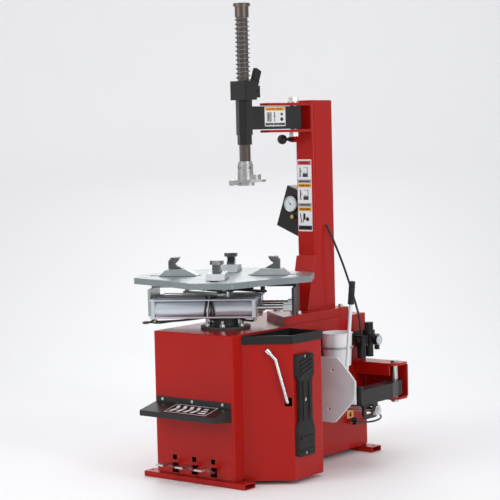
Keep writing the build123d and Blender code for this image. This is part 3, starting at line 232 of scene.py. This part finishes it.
bucket_white = surface("white_bucket_plastic", (0.84, 0.83, 0.85), (0.74, 0.73, 0.75), 0.35, mottle=8,
                       patch=0.6,
                       grain=300, depth=0.06, edge=(0.9, 0.9, 0.9))
galvanised = surface("galvanised_strip", (0.42, 0.43, 0.44), (0.26, 0.27, 0.28), 0.42, metal=0.9, mottle=60,
                     patch=0.9, grain=220, depth=0.12)
brass = surface("machined_brass", (0.62, 0.44, 0.17), (0.46, 0.32, 0.12), 0.28, metal=1.0, mottle=50,
                grain=400,
                depth=0.06, edge=(0.85, 0.7, 0.4), edge_r=0.0008)
paper = surface("label_white_film", (0.80, 0.79, 0.80), (0.70, 0.69, 0.71), 0.42, mottle=60, grain=500,
                depth=0.03)
ink = surface("label_black_ink", (0.014, 0.014, 0.016), (0.03, 0.03, 0.032), 0.45, mottle=80, grain=500,
              depth=0.03)
amber = surface("label_amber_ink", (0.80, 0.36, 0.02), (0.68, 0.30, 0.02), 0.42, mottle=60, grain=500,
                depth=0.03)
scarlet = surface("label_red_ink", (0.56, 0.035, 0.03), (0.46, 0.03, 0.025), 0.42, mottle=60, grain=500,
                  depth=0.03)
ash = surface("label_grey_ink", (0.30, 0.30, 0.31), (0.24, 0.24, 0.25), 0.45, mottle=60, grain=500,
              depth=0.03)
dial_white = surface("dial_face_white", (0.68, 0.76, 0.78), (0.58, 0.67, 0.70), 0.30, mottle=50, grain=400,
                     depth=0.02, coat=0.8)

FINISHES = {
    red: "cabinet_shell side_pocket rear_cover base_frame column arm_bracket breaker_bracket",
    black_paint: "pedal_hood swing_arm lock_block breaker_arm cam_plate breaker_cylinder gauge_box "
                 "pedal_frame",
    plate_steel: "breaker_blade",
    jaw_steel: "front_jaw rear_jaw right_jaw",
    hanger_grey: "left_jaw",
    dark_steel: "hex_shaft shaft_cap",
    zinc: "fasteners pivot_pins clamp_pedal breaker_pedal turntable_pedal worm_shaft table_spindle "
          "head_roller",
    chrome: "clamp_rods breaker_rod pry_bar",
    claw_steel: "front_jaw_claw rear_jaw_claw left_jaw_claw right_jaw_claw",
    table_grey: "table_top",
    cast: "mount_head head_collar",
    barrel: "clamp_barrels",
    iron: "gearbox_case motor_pulley drive_motor",
    plastic: "tool_tray lock_lever stop_knob regulator_knob air_unit pressure_gauges",
    rubber: "bead_pad drive_belt handle_grip",
    hose_rubber: "air_hose power_cord cord_plug",
    bucket_white: "soap_bucket",
    galvanised: "bucket_ring shaft_spring",
    brass: "inflate_button",
}
for finish, names in FINISHES.items():
    for name in names.split():
        nodes[name].data.materials.clear()
        nodes[name].data.materials.append(finish)


# ---------------------------------------------------------------- mesh helpers
def mesh_of(name, bm):
    """Mesh made from a bmesh, which is then freed."""
    mesh = bpy.data.meshes.new(name)
    bm.to_mesh(mesh)
    bm.free()
    return mesh


def skirt(bm, low, high):
    """Band of faces between two rings of the same length."""
    for i in range(len(low)):
        j = (i + 1) % len(low)
        bm.faces.new((low[i], low[j], high[j], high[i]))


def piece(name, mesh, body, materials, smooth=False):
    """New object from a mesh, riding on a body."""
    obj = bpy.data.objects.new(name, mesh)
    scene.collection.objects.link(obj)
    for m in materials:
        mesh.materials.append(m)
    if smooth:
        for p in mesh.polygons:
            p.use_smooth = True
    if body:
        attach(obj, body)
    return obj


def frame_of(origin, axis, towards=(0, 0, 1)):
    """Matrix whose Z runs along axis and whose X lies as near as it can to towards."""
    z = Vector(axis).normalized()
    x = Vector(towards) - z * z.dot(Vector(towards))
    if x.length < 1e-6:
        x = z.orthogonal()
    x.normalize()
    return Matrix.Translation(Vector(origin)) @ Matrix((x, z.cross(x), z)).transposed().to_4x4()


def turned(name, profile, origin, axis, body, material, sides=48, smooth=True):
    """Lathe: profile is (radius, height) pairs along the axis."""
    bm = bmesh.new()
    place = frame_of(origin, axis)
    rings = []
    for r, h in profile:
        if r < 1e-6:
            rings.append([bm.verts.new(place @ Vector((0, 0, h)))])
        else:
            turns = [2 * pi * i / sides for i in range(sides)]
            rings.append([bm.verts.new(place @ Vector((r * cos(a), r * sin(a), h))) for a in turns])
    for low, high in zip(rings, rings[1:]):
        for i in range(sides):
            j = (i + 1) % sides
            if len(low) == 1 and len(high) > 1:
                bm.faces.new((low[0], high[j], high[i]))
            elif len(high) == 1 and len(low) > 1:
                bm.faces.new((low[i], low[j], high[0]))
            elif len(low) > 1:
                bm.faces.new((low[i], low[j], high[j], high[i]))
    bmesh.ops.recalc_face_normals(bm, faces=bm.faces)
    mesh = mesh_of(name, bm)
    obj = piece(name, mesh, body, [material])
    if smooth:
        mesh.shade_smooth()
        mesh.set_sharp_from_angle(angle=radians(35))
    return obj


def slab(name, outline, place, thick, body, material, round_edge=0.0):
    """Flat piece: an outline in the place's XY plane, raised along its Z."""
    bm = bmesh.new()
    low = [bm.verts.new(place @ Vector((x, y, 0))) for x, y in outline]
    high = [bm.verts.new(place @ Vector((x, y, thick))) for x, y in outline]
    bm.faces.new(list(reversed(low)))
    bm.faces.new(high)
    skirt(bm, low, high)
    bmesh.ops.recalc_face_normals(bm, faces=bm.faces)
    obj = piece(name, mesh_of(name, bm), body, [material])
    if round_edge:
        soften = obj.modifiers.new("soften", "BEVEL")
        soften.width, soften.segments, soften.limit_method = round_edge, 2, "ANGLE"
    return obj


def rounded(w, h, r, steps=5, centre=(0, 0)):
    """Outline of a rounded rectangle."""
    points = []
    for k, (sx, sy) in enumerate(((1, 1), (-1, 1), (-1, -1), (1, -1))):
        for i in range(steps + 1):
            a = pi / 2 * (k + i / steps)
            points.append((centre[0] + sx * (w / 2 - r) + r * cos(a),
                           centre[1] + sy * (h / 2 - r) + r * sin(a)))
    return points


def nurbs(name, points, radius):
    """Smooth tube whose control points are the route's own."""
    curve = bpy.data.curves.new(name, "CURVE")
    curve.dimensions = "3D"
    line = curve.splines.new("NURBS")
    line.points.add(len(points) - 1)
    for p, co in zip(line.points, points):
        p.co = (*co, 1)
    line.order_u = 3
    line.use_endpoint_u = True
    line.resolution_u = 14
    curve.bevel_depth, curve.bevel_resolution, curve.use_fill_caps = radius, 5, True
    obj = bpy.data.objects.new(name, curve)
    scene.collection.objects.link(obj)
    return obj


def hose(name, points, radius, body, material):
    """Short fixed hose as a mesh tube."""
    line = nurbs(name + "_line", points, radius)
    bpy.context.view_layer.update()
    mesh = bpy.data.meshes.new_from_object(line.evaluated_get(bpy.context.evaluated_depsgraph_get()))
    bpy.data.objects.remove(line)
    mesh.materials.clear()
    return piece(name, mesh, body, [material], smooth=True)


# ---------------------------------------------------------------- loose power cord
cord_points = [(0.120, 0.456, 0.150), (0.124, 0.506, 0.149), (0.160, 0.542, 0.144), (0.208, 0.534, 0.134),
               (0.232, 0.490, 0.126), (0.228, 0.440, 0.122), (0.220, 0.392, 0.126), (0.216, 0.346, 0.136)]
cord = nurbs("power_cord_flex", cord_points, 0.004)
cord.data.materials.append(hose_rubber)
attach(cord, "machine")
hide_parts("power_cord")
relief = turned("cord_strain_relief", [(0, 0), (0.0085, 0), (0.0085, 0.004), (0.0072, 0.006), (0.0072, 0.009),
                                       (0.0066, 0.010), (0.0066, 0.014), (0.0060, 0.015), (0.0060, 0.019),
                                       (0.0054, 0.020), (0.0054, 0.024), (0.0049, 0.025), (0.0046, 0.032),
                                       (0.0041, 0.034), (0, 0.034)],
                cord_points[0], Vector((0.004, 0.050, -0.001)), "machine", plastic, 32)
plug_at = Vector(cord_points[-1])
plug_way = (plug_at - Vector(cord_points[-2])).normalized()
plug_place = frame_of(plug_at, plug_way)
bm = bmesh.new()
rings = []
# moulded plug as cross-sections: distance along it, width and height
for out, w, h in ((0, 0.010, 0.010), (0.004, 0.011, 0.011), (0.0045, 0.013, 0.013), (0.007, 0.013, 0.013),
                  (0.0075, 0.011, 0.012), (0.010, 0.015, 0.017), (0.016, 0.023, 0.028), (0.024, 0.024, 0.030),
                  (0.0265, 0.024, 0.030), (0.027, 0.0232, 0.0292)):
    rings.append([bm.verts.new(plug_place @ Vector((y, x, out)))
                  for x, y in rounded(w, h, min(w, h) * 0.3, 4)])
for low, high in zip(rings, rings[1:]):
    skirt(bm, low, high)
bm.faces.new(list(reversed(rings[0])))
bm.faces.new(rings[-1])
bmesh.ops.recalc_face_normals(bm, faces=bm.faces)
plug_mesh = mesh_of("plug_body", bm)
plug = piece("plug_body", plug_mesh, "machine", [plastic], smooth=True)
plug_mesh.set_sharp_from_angle(angle=radians(40))
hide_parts("cord_plug")
# two flat blades and a round earth pin
pin_place = plug_place @ Matrix.Translation((0, 0, 0.027))
for k, (w, h, x, y) in enumerate(((0.0016, 0.0062, 0.006, -0.006), (0.0016, 0.0062, 0.006, 0.006),
                                  (0.0045, 0.0045, -0.007, 0))):
    pin = slab(f"plug_pin_{k}", rounded(w, h, 0.0006, 2, (x, y)), pin_place, 0.0145, "machine", brass)
    pin.parent = plug
    pin.matrix_parent_inverse = plug.matrix_world.inverted()

# ---------------------------------------------------------------- coil spring on the shaft
bm = bmesh.new()
per_turn, around = 36, 10
steps = SPRING_TURNS * per_turn
height = SPRING_TOP - SPRING_FOOT - 2 * SPRING_WIRE - 0.001
rise = Vector((0, 0, 1))
last = None
for i in range(steps + 1):
    a = 2 * pi * i / per_turn
    middle = SHAFT + Vector((SPRING_RADIUS * cos(a), SPRING_RADIUS * sin(a),
                             SPRING_FOOT + SPRING_WIRE + 0.0005 + height * i / steps))
    out = Vector((cos(a), sin(a), 0))
    ring = []
    for k in range(around):
        turn = 2 * pi * k / around
        ring.append(bm.verts.new(middle + out * SPRING_WIRE * cos(turn) + rise * SPRING_WIRE * sin(turn)))
    if last:
        skirt(bm, last, ring)
    else:
        bm.faces.new(ring)
    last = ring
bm.faces.new(list(reversed(last)))
bmesh.ops.recalc_face_normals(bm, faces=bm.faces)
spring = piece("spring_coil", mesh_of("spring_coil", bm), "arm", [claw_steel], smooth=True)
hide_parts("shaft_spring")
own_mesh(spring)


# ---------------------------------------------------------------- labels without lettering
def label(name, place, size, blocks, body):
    """White film with printed blocks; each block is (ink, outline in 0..1 across and up)."""
    w, h = size
    bm = bmesh.new()
    inks = [paper]

    def sheet_of(outline, level, slot):
        corners = [bm.verts.new(place @ Vector((x, y, level))) for x, y in outline]
        face = bm.faces.new(corners)
        face.material_index = slot
        edge = [bm.verts.new(place @ Vector((x, y, 0))) for x, y in outline]
        for i in range(len(outline)):
            j = (i + 1) % len(outline)
            bm.faces.new((corners[j], corners[i], edge[i], edge[j])).material_index = slot

    sheet_of(rounded(w, h, 0.004, 4, (w / 2, h / 2)), 0.0004, 0)
    for ink_used, outline in blocks:
        if ink_used not in inks:
            inks.append(ink_used)
        sheet_of([(u * w, v * h) for u, v in outline], 0.0007, inks.index(ink_used))
    return piece(name, mesh_of(name, bm), body, inks)


def bar(u0, v0, u1, v1):
    """Outline of an upright rectangle."""
    return [(u0, v0), (u1, v0), (u1, v1), (u0, v1)]


def spot(u, v, ru, rv, n=14):
    """Outline of an ellipse."""
    return [(u + ru * cos(2 * pi * i / n), v + rv * sin(2 * pi * i / n)) for i in range(n)]


def limb(u0, v0, u1, v1, half):
    """Outline of a slanted bar."""
    return [(u0 - half, v0), (u0 + half, v0), (u1 + half, v1), (u1 - half, v1)]


def strip(ink_used, back, v0, v1, marks, seed):
    """Caption band: a coloured bar with a row of plain dashes in place of words."""
    made = [(back, bar(0.03, v0, 0.97, v1))]
    lo, hi = v0 + (v1 - v0) * 0.3, v1 - (v1 - v0) * 0.3
    at = 0.12
    for k in range(marks):
        wide = 0.06 + 0.03 * ((k * seed) % 3)
        if at + wide > 0.9:
            break
        made.append((ink_used, bar(at, lo, at + wide, hi)))
        at += wide + 0.035
    return made


def worker(v0, v1, u, machine_u):
    """Plain operator beside a plain machine."""
    h = v1 - v0
    return [(ink, spot(u, v0 + h * 0.80, 0.045, h * 0.07)),
            (ink, limb(u, v0 + h * 0.40, u, v0 + h * 0.72, 0.035)),
            (ink, limb(u - 0.05, v0 + h * 0.12, u - 0.01, v0 + h * 0.42, 0.018)),
            (ink, limb(u + 0.05, v0 + h * 0.12, u + 0.01, v0 + h * 0.42, 0.018)),
            (ink, limb(u + 0.12, v0 + h * 0.50, u + 0.02, v0 + h * 0.66, 0.016)),
            (ink, bar(machine_u, v0 + h * 0.12, machine_u + 0.36, v0 + h * 0.40)),
            (ash, bar(machine_u + 0.02, v0 + h * 0.44, machine_u + 0.24, v0 + h * 0.50)),
            (ink, bar(machine_u + 0.31, v0 + h * 0.40, machine_u + 0.35, v0 + h * 0.90)),
            (ash, bar(machine_u + 0.06, v0 + h * 0.84, machine_u + 0.31, v0 + h * 0.88))]


column_blocks = [(scarlet, bar(0.04, 0.925, 0.96, 0.98))]
column_blocks += [(paper, bar(0.2 + 0.13 * k, 0.942, 0.28 + 0.13 * k, 0.964)) for k in range(5)]
column_blocks += worker(0.735, 0.91, 0.20, 0.38)
column_blocks += strip(paper, ash, 0.672, 0.720, 7, 2) + strip(scarlet, amber, 0.612, 0.664, 6, 1)
column_blocks += worker(0.415, 0.60, 0.20, 0.40)
column_blocks += strip(paper, ash, 0.345, 0.392, 7, 1) + strip(scarlet, amber, 0.282, 0.336, 6, 2)
column_blocks += [(ink, limb(0.24, 0.115, 0.16, 0.25, 0.03)), (ink, limb(0.34, 0.125, 0.44, 0.24, 0.03)),
                  (ink, bar(0.36, 0.16, 0.52, 0.25)), (ash, spot(0.66, 0.17, 0.12, 0.034)),
                  (paper, spot(0.66, 0.17, 0.085, 0.022))]
column_blocks += strip(paper, ink, 0.020, 0.080, 7, 2)
label("column_label", frame_of((0.0695, COLUMN_FRONT - 0.0002, 0.936), (0, -1, 0), (1, 0, 0)),
      (0.071, 0.292), column_blocks, "machine")

# the arm's right face runs back from the sleeve to the pivot
face_start, face_end = Vector((0.121, -0.212, 0)), Vector((0.132, 0.102, 0))
arm_side = (face_end - face_start).normalized()
arm_out = Vector((arm_side.y, -arm_side.x, 0))
arm_at = Vector((face_start.x, face_start.y, 1.3645)) + arm_side * 0.092
arm_blocks = strip(scarlet, amber, 0.80, 0.97, 6, 1)
arm_blocks += [(ash, bar(0.10, 0.24, 0.33, 0.72)), (paper, bar(0.13, 0.28, 0.30, 0.68)),
               (ash, bar(0.16, 0.34, 0.20, 0.60)), (ink, spot(0.47, 0.68, 0.03, 0.04)),
               (ink, bar(0.455, 0.24, 0.485, 0.64)), (ink, bar(0.43, 0.50, 0.51, 0.54)),
               (ink, spot(0.82, 0.62, 0.06, 0.07)), (ink, spot(0.82, 0.36, 0.075, 0.10)),
               (paper, spot(0.82, 0.48, 0.035, 0.03))]
arm_blocks += strip(paper, ink, 0.05, 0.17, 7, 2)
label("arm_label", frame_of(arm_at + arm_out * 0.0002, arm_out, arm_side), (0.128, 0.0765), arm_blocks,
      "arm")

# plain graphic on the pedal hood: a white outline with bars and chevrons
hood_down = (HOOD_FRONT - HOOD_BACK).normalized()
hood_out = Vector((0, hood_down.z, -hood_down.y))
if hood_out.z < 0:
    hood_out = -hood_out
hood_place = frame_of(HOOD_BACK + hood_down * 0.090 + Vector((-0.072, 0, 0)) + hood_out * 0.0001,
                      hood_out, (1, 0, 0))
bm = bmesh.new()


def printed(outline):
    """Flat printed shape on the hood."""
    bm.faces.new([bm.verts.new(hood_place @ Vector((x, y, 0.0004))) for x, y in outline])


gw, gh, rule = 0.206, 0.080, 0.0028       # width, height and line of the outline
for outline in (((0, 0), (gw, 0), (gw, rule), (0, rule)),
                ((0, gh - rule), (gw, gh - rule), (gw, gh), (0, gh)),
                ((0, rule), (rule, rule), (rule, gh - rule), (0, gh - rule)),
                ((gw - rule, rule), (gw, rule), (gw, gh - rule), (gw - rule, gh - rule))):
    printed(outline)
for k in range(4):
    x = 0.014 + 0.034 * k
    for y0, y1, lean in ((0.012, 0.038, 0.012), (0.042, 0.068, -0.012)):
        foot, head = max(0, -lean), max(0, lean)
        printed(((x + foot, y0), (x + 0.016 + foot, y0), (x + 0.016 + head, y1), (x + head, y1)))
for k in range(3):
    printed(((0.156, 0.014 + 0.019 * k), (0.192 - 0.008 * k, 0.014 + 0.019 * k),
             (0.192 - 0.008 * k, 0.024 + 0.019 * k), (0.156, 0.024 + 0.019 * k)))
piece("hood_graphic", mesh_of("hood_graphic", bm), "machine", [paper])

# small amber warning patch low on the right wall, with a plain triangle
label("wall_patch", frame_of((0.1952, 0.300, 0.152), (1, 0, 0), (0, 1, 0)), (0.044, 0.034),
      [(amber, bar(0.06, 0.08, 0.94, 0.92)), (ink, [(0.3, 0.25), (0.7, 0.25), (0.5, 0.78)])], "machine")


# ---------------------------------------------------------------- dials
def dial(name, centre, axis, radius, needle, body="machine", face=dial_white, marks=ink):
    """Gauge face with ticks, a needle on a boss and a bright bezel."""
    place = frame_of(centre, axis)
    turned(name + "_bezel", [(radius, -0.006), (radius + 0.0015, -0.004), (radius + 0.0015, 0.0008),
                             (radius - 0.001, 0.0022), (radius - 0.003, 0.0012), (radius - 0.003, 0.0004)],
           centre, axis, body, zinc)
    turned(name + "_face", [(0, 0.0004), (radius - 0.0028, 0.0004)], centre, axis, body, face)
    bm = bmesh.new()
    for k in range(25):
        a = radians(-135 + 11.25 * k + 180)
        long = 0.16 if k % 4 == 0 else 0.09
        half = 0.022 if k % 4 == 0 else 0.012
        c, s = cos(a), sin(a)
        corners = [(radius * (0.86 - long), -half * radius), (radius * 0.86, -half * radius),
                   (radius * 0.86, half * radius), (radius * (0.86 - long), half * radius)]
        bm.faces.new([bm.verts.new(place @ Vector((-(x * c - y * s), x * s + y * c, 0.0007)))
                      for x, y in corners])
    piece(name + "_ticks", mesh_of(name + "_ticks", bm), body, [marks])
    c, s = cos(radians(needle)), sin(radians(needle))
    slab(name + "_needle", [(x * c - y * s, x * s + y * c) for x, y in
                            ((-0.2 * radius, -0.03 * radius), (0.66 * radius, -0.008 * radius),
                             (0.66 * radius, 0.008 * radius), (-0.2 * radius, 0.03 * radius))],
         place @ Matrix.Translation((0, 0, 0.0008)), 0.0004, body, scarlet)
    turned(name + "_boss", [(0, 0.0022), (radius * 0.09, 0.002), (radius * 0.11, 0.0008)], centre, axis,
           body, ink, 24)


gauge_low, gauge_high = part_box("pressure_gauges")
dial("box_gauge", (0.024, gauge_low.y - 0.0003, 1.046), (0, -1, 0), 0.031, needle=40)
dial("unit_gauge", (gauge_high.x + 0.0003, UNIT_GAUGE_Y, UNIT_GAUGE_Z), (1, 0, 0), 0.0190, needle=120)

# ---------------------------------------------------------------- hoses and fittings under the turntable
table_axis = Vector((0, TABLE_Y, 0))
along = Vector((cos(FRONT_JAW + pi / 2), sin(FRONT_JAW + pi / 2), 0))
across = Vector((cos(FRONT_JAW), sin(FRONT_JAW), 0))


def under(a, c, z):
    """Point under the turntable: along the cylinders, towards the front jaw, and height."""
    return table_axis + along * a + across * c + Vector((0, 0, z))


# the three working hoses, in millimetres along, across and up
routes = {
    "clamp_hose_rear": [(30, -30, 640), (10, -34, 632), (-60, -60, 626), (-150, -84, 622), (-216, -92, 618),
                        (-254, -92, 617), (-265, -92, 623)],
    "clamp_hose_open": [(20, 36, 638), (40, 52, 628), (70, 72, 622), (98, 90, 617), (124, 92, 615),
                        (129, 92, 626)],
    "clamp_hose_close": [(-20, 36, 642), (-50, 58, 630), (-110, 84, 624), (-176, 96, 619), (-236, 98, 617),
                         (-258, 92, 616), (-265, 92, 623)],
}
for name, route in routes.items():
    path = [under(a / 1000, c / 1000, z / 1000) for a, c, z in route]
    tube = hose(name, path, 0.0042, None, hose_rubber)
    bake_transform(tube)

# spare hose wound round the front cylinder, its tie, and the spare ring at the left end
loop = []
for i in range(46):
    a = 2 * pi * i / 11                   # eleven points to each turn
    swell = 0.0425 + 0.0030 * sin(2.3 * a) * sin(0.7 * a)
    loop.append(under(-0.062 + 0.00085 * i + 0.006 * sin(1.9 * a), CYLINDER_OUT + swell * sin(a),
                      CYLINDER_Z + swell * cos(a)))
loop += [under(-0.030, 0.112, 0.628), under(-0.050, 0.090, 0.619), under(-0.020, 0.060, 0.620),
         under(0.010, 0.040, 0.628), under(0.014, 0.030, 0.640)]
hose("cylinder_hose_wrap", loop, 0.0038, "jaw_left", hose_rubber)
tie = [under(-0.048 + 0.003 * sin(2 * a), CYLINDER_OUT + 0.0475 * sin(a), CYLINDER_Z + 0.0475 * cos(a))
       for a in (2 * pi * k / 24 for k in range(25))]
hose("hose_tie", tie, 0.0018, "jaw_left", bucket_white)
ring_hose = [under(-0.262, 0.095, 0.628), under(-0.276, 0.100, 0.618), under(-0.296, 0.108, 0.611),
             under(-0.314, 0.094, 0.612), under(-0.308, 0.074, 0.613), under(-0.286, 0.068, 0.611),
             under(-0.262, 0.078, 0.609), under(-0.240, 0.092, 0.611), under(-0.205, 0.098, 0.617),
             under(-0.170, 0.094, 0.620)]
hose("end_hose_ring", ring_hose, 0.0038, "jaw_left", hose_rubber)

# push-in elbows on the cylinder caps and round the rotary union
for k, (a, c) in enumerate(((-265, 92), (129, 92), (-265, -92), (129, -92))):
    turned(f"cap_elbow_{k}", [(0, 0), (0.0075, 0), (0.0075, 0.006), (0.0060, 0.007), (0.0060, 0.013),
                              (0.0050, 0.0135), (0, 0.0135)],
           under(a / 1000, c / 1000, CYLINDER_Z - CAP_LOW), (0, 0, -1), "jaw_left", brass, 24)
for k in range(4):
    a = FRONT_JAW + radians(40 + 90 * k)
    turned(f"union_fitting_{k}", [(0, 0), (0.0085, 0), (0.0085, 0.008), (0.0060, 0.009), (0.0060, 0.018),
                                  (0.0070, 0.018), (0.0070, 0.024), (0, 0.024)],
           table_axis + Vector((UNION_RADIUS * cos(a), UNION_RADIUS * sin(a), UNION_Z)), (cos(a), sin(a), 0),
           "turntable", brass, 6, smooth=False)

# ---------------------------------------------------------------- grips and small trim
handle_way = (HANDLE_TOP - HANDLE_FOOT).normalized()
profile = [(0, 0), (0.0100, 0), (0.0124, 0.0015), (0.0128, 0.006)]
for k in range(9):                        # ribs
    base = 0.010 + 0.0085 * k
    profile += [(0.0128, base), (0.0112, base + 0.0012), (0.0112, base + 0.0030), (0.0128, base + 0.0042)]
profile += [(0.0128, 0.088), (0.0112, 0.0915), (0, 0.092)]
grip = turned("blade_grip", profile, HANDLE_TOP, handle_way, "blade", rubber, 40)
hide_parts("handle_grip")

# screw slots and washers that show on the collar
for k, turn in enumerate((-100, -20)):
    a = radians(turn)
    turned(f"collar_screw_{k}", [(0, 0.0002), (0.0026, 0.0002), (0.0026, 0.0016), (0.0052, 0.0016),
                                 (0.0056, 0.0010), (0.0056, 0)],
           SHAFT + Vector((COLLAR_REACH * cos(a), COLLAR_REACH * sin(a), COLLAR_SCREW_Z)),
           (cos(a), sin(a), 0), "shaft", dark_steel, 6, smooth=False)

# ---------------------------------------------------------------- floor, backdrop and light
floor_paint = surface("studio_floor", (0.95, 0.95, 0.95), (0.93, 0.93, 0.93), 0.6, mottle=1.5, grain=60,
                      depth=0.02)
bm = bmesh.new()
bend_at, bend = 3.2, 1.6                  # where the floor turns up into the backdrop, and its radius
sweep_line = [(-7.0, 0.0), (bend_at, 0.0)]
sweep_line += [(bend_at + bend * sin(radians(a)), bend - bend * cos(radians(a))) for a in range(10, 91, 10)]
sweep_line += [(4.8, 7.0)]
back = Vector((look.x, look.y, 0)).normalized()
side = Vector((back.y, -back.x, 0))
rows = [[bm.verts.new(back * d + side * s + Vector((0, 0, z - 0.0005))) for s in (-9, 9)]
        for d, z in sweep_line]
for a, b in zip(rows, rows[1:]):
    bm.faces.new((a[0], a[1], b[1], b[0]))
stage_mesh = mesh_of("studio_sweep", bm)
stage_mesh.materials.append(floor_paint)
stage_mesh.shade_smooth()
studio = bpy.data.objects.new("studio_sweep", stage_mesh)
scene.collection.objects.link(studio)


def softbox(name, at, aim, size, power):
    """Rectangular lamp that faces a point."""
    data = bpy.data.lights.new(name, "AREA")
    data.shape, data.size, data.size_y = "RECTANGLE", size[0], size[1]
    data.energy = power
    obj = bpy.data.objects.new(name, data)
    obj.location = at
    obj.rotation_euler = (Vector(aim) - Vector(at)).to_track_quat("-Z", "Y").to_euler()
    scene.collection.objects.link(obj)


softbox("key_left", (-1.6, -4.2, 3.0), (0, 0, 0.8), (2.2, 2.6), 62)
softbox("fill_right", (4.6, -1.2, 2.2), (0.1, 0, 0.8), (0.7, 3.4), 60)
softbox("top_soft", (0.3, -0.6, 4.6), (0, 0, 0.8), (3.0, 3.0), 40)
softbox("back_rim", (-2.6, 3.2, 2.6), (0, 0, 1.0), (2.0, 2.0), 30)

world = bpy.data.worlds.new("studio_world")
world.use_nodes = True
world.node_tree.nodes["Background"].inputs["Color"].default_value = (0.95, 0.96, 1.0, 1)
world.node_tree.nodes["Background"].inputs["Strength"].default_value = 0.62
scene.world = world
scene.view_settings.view_transform = "Standard"
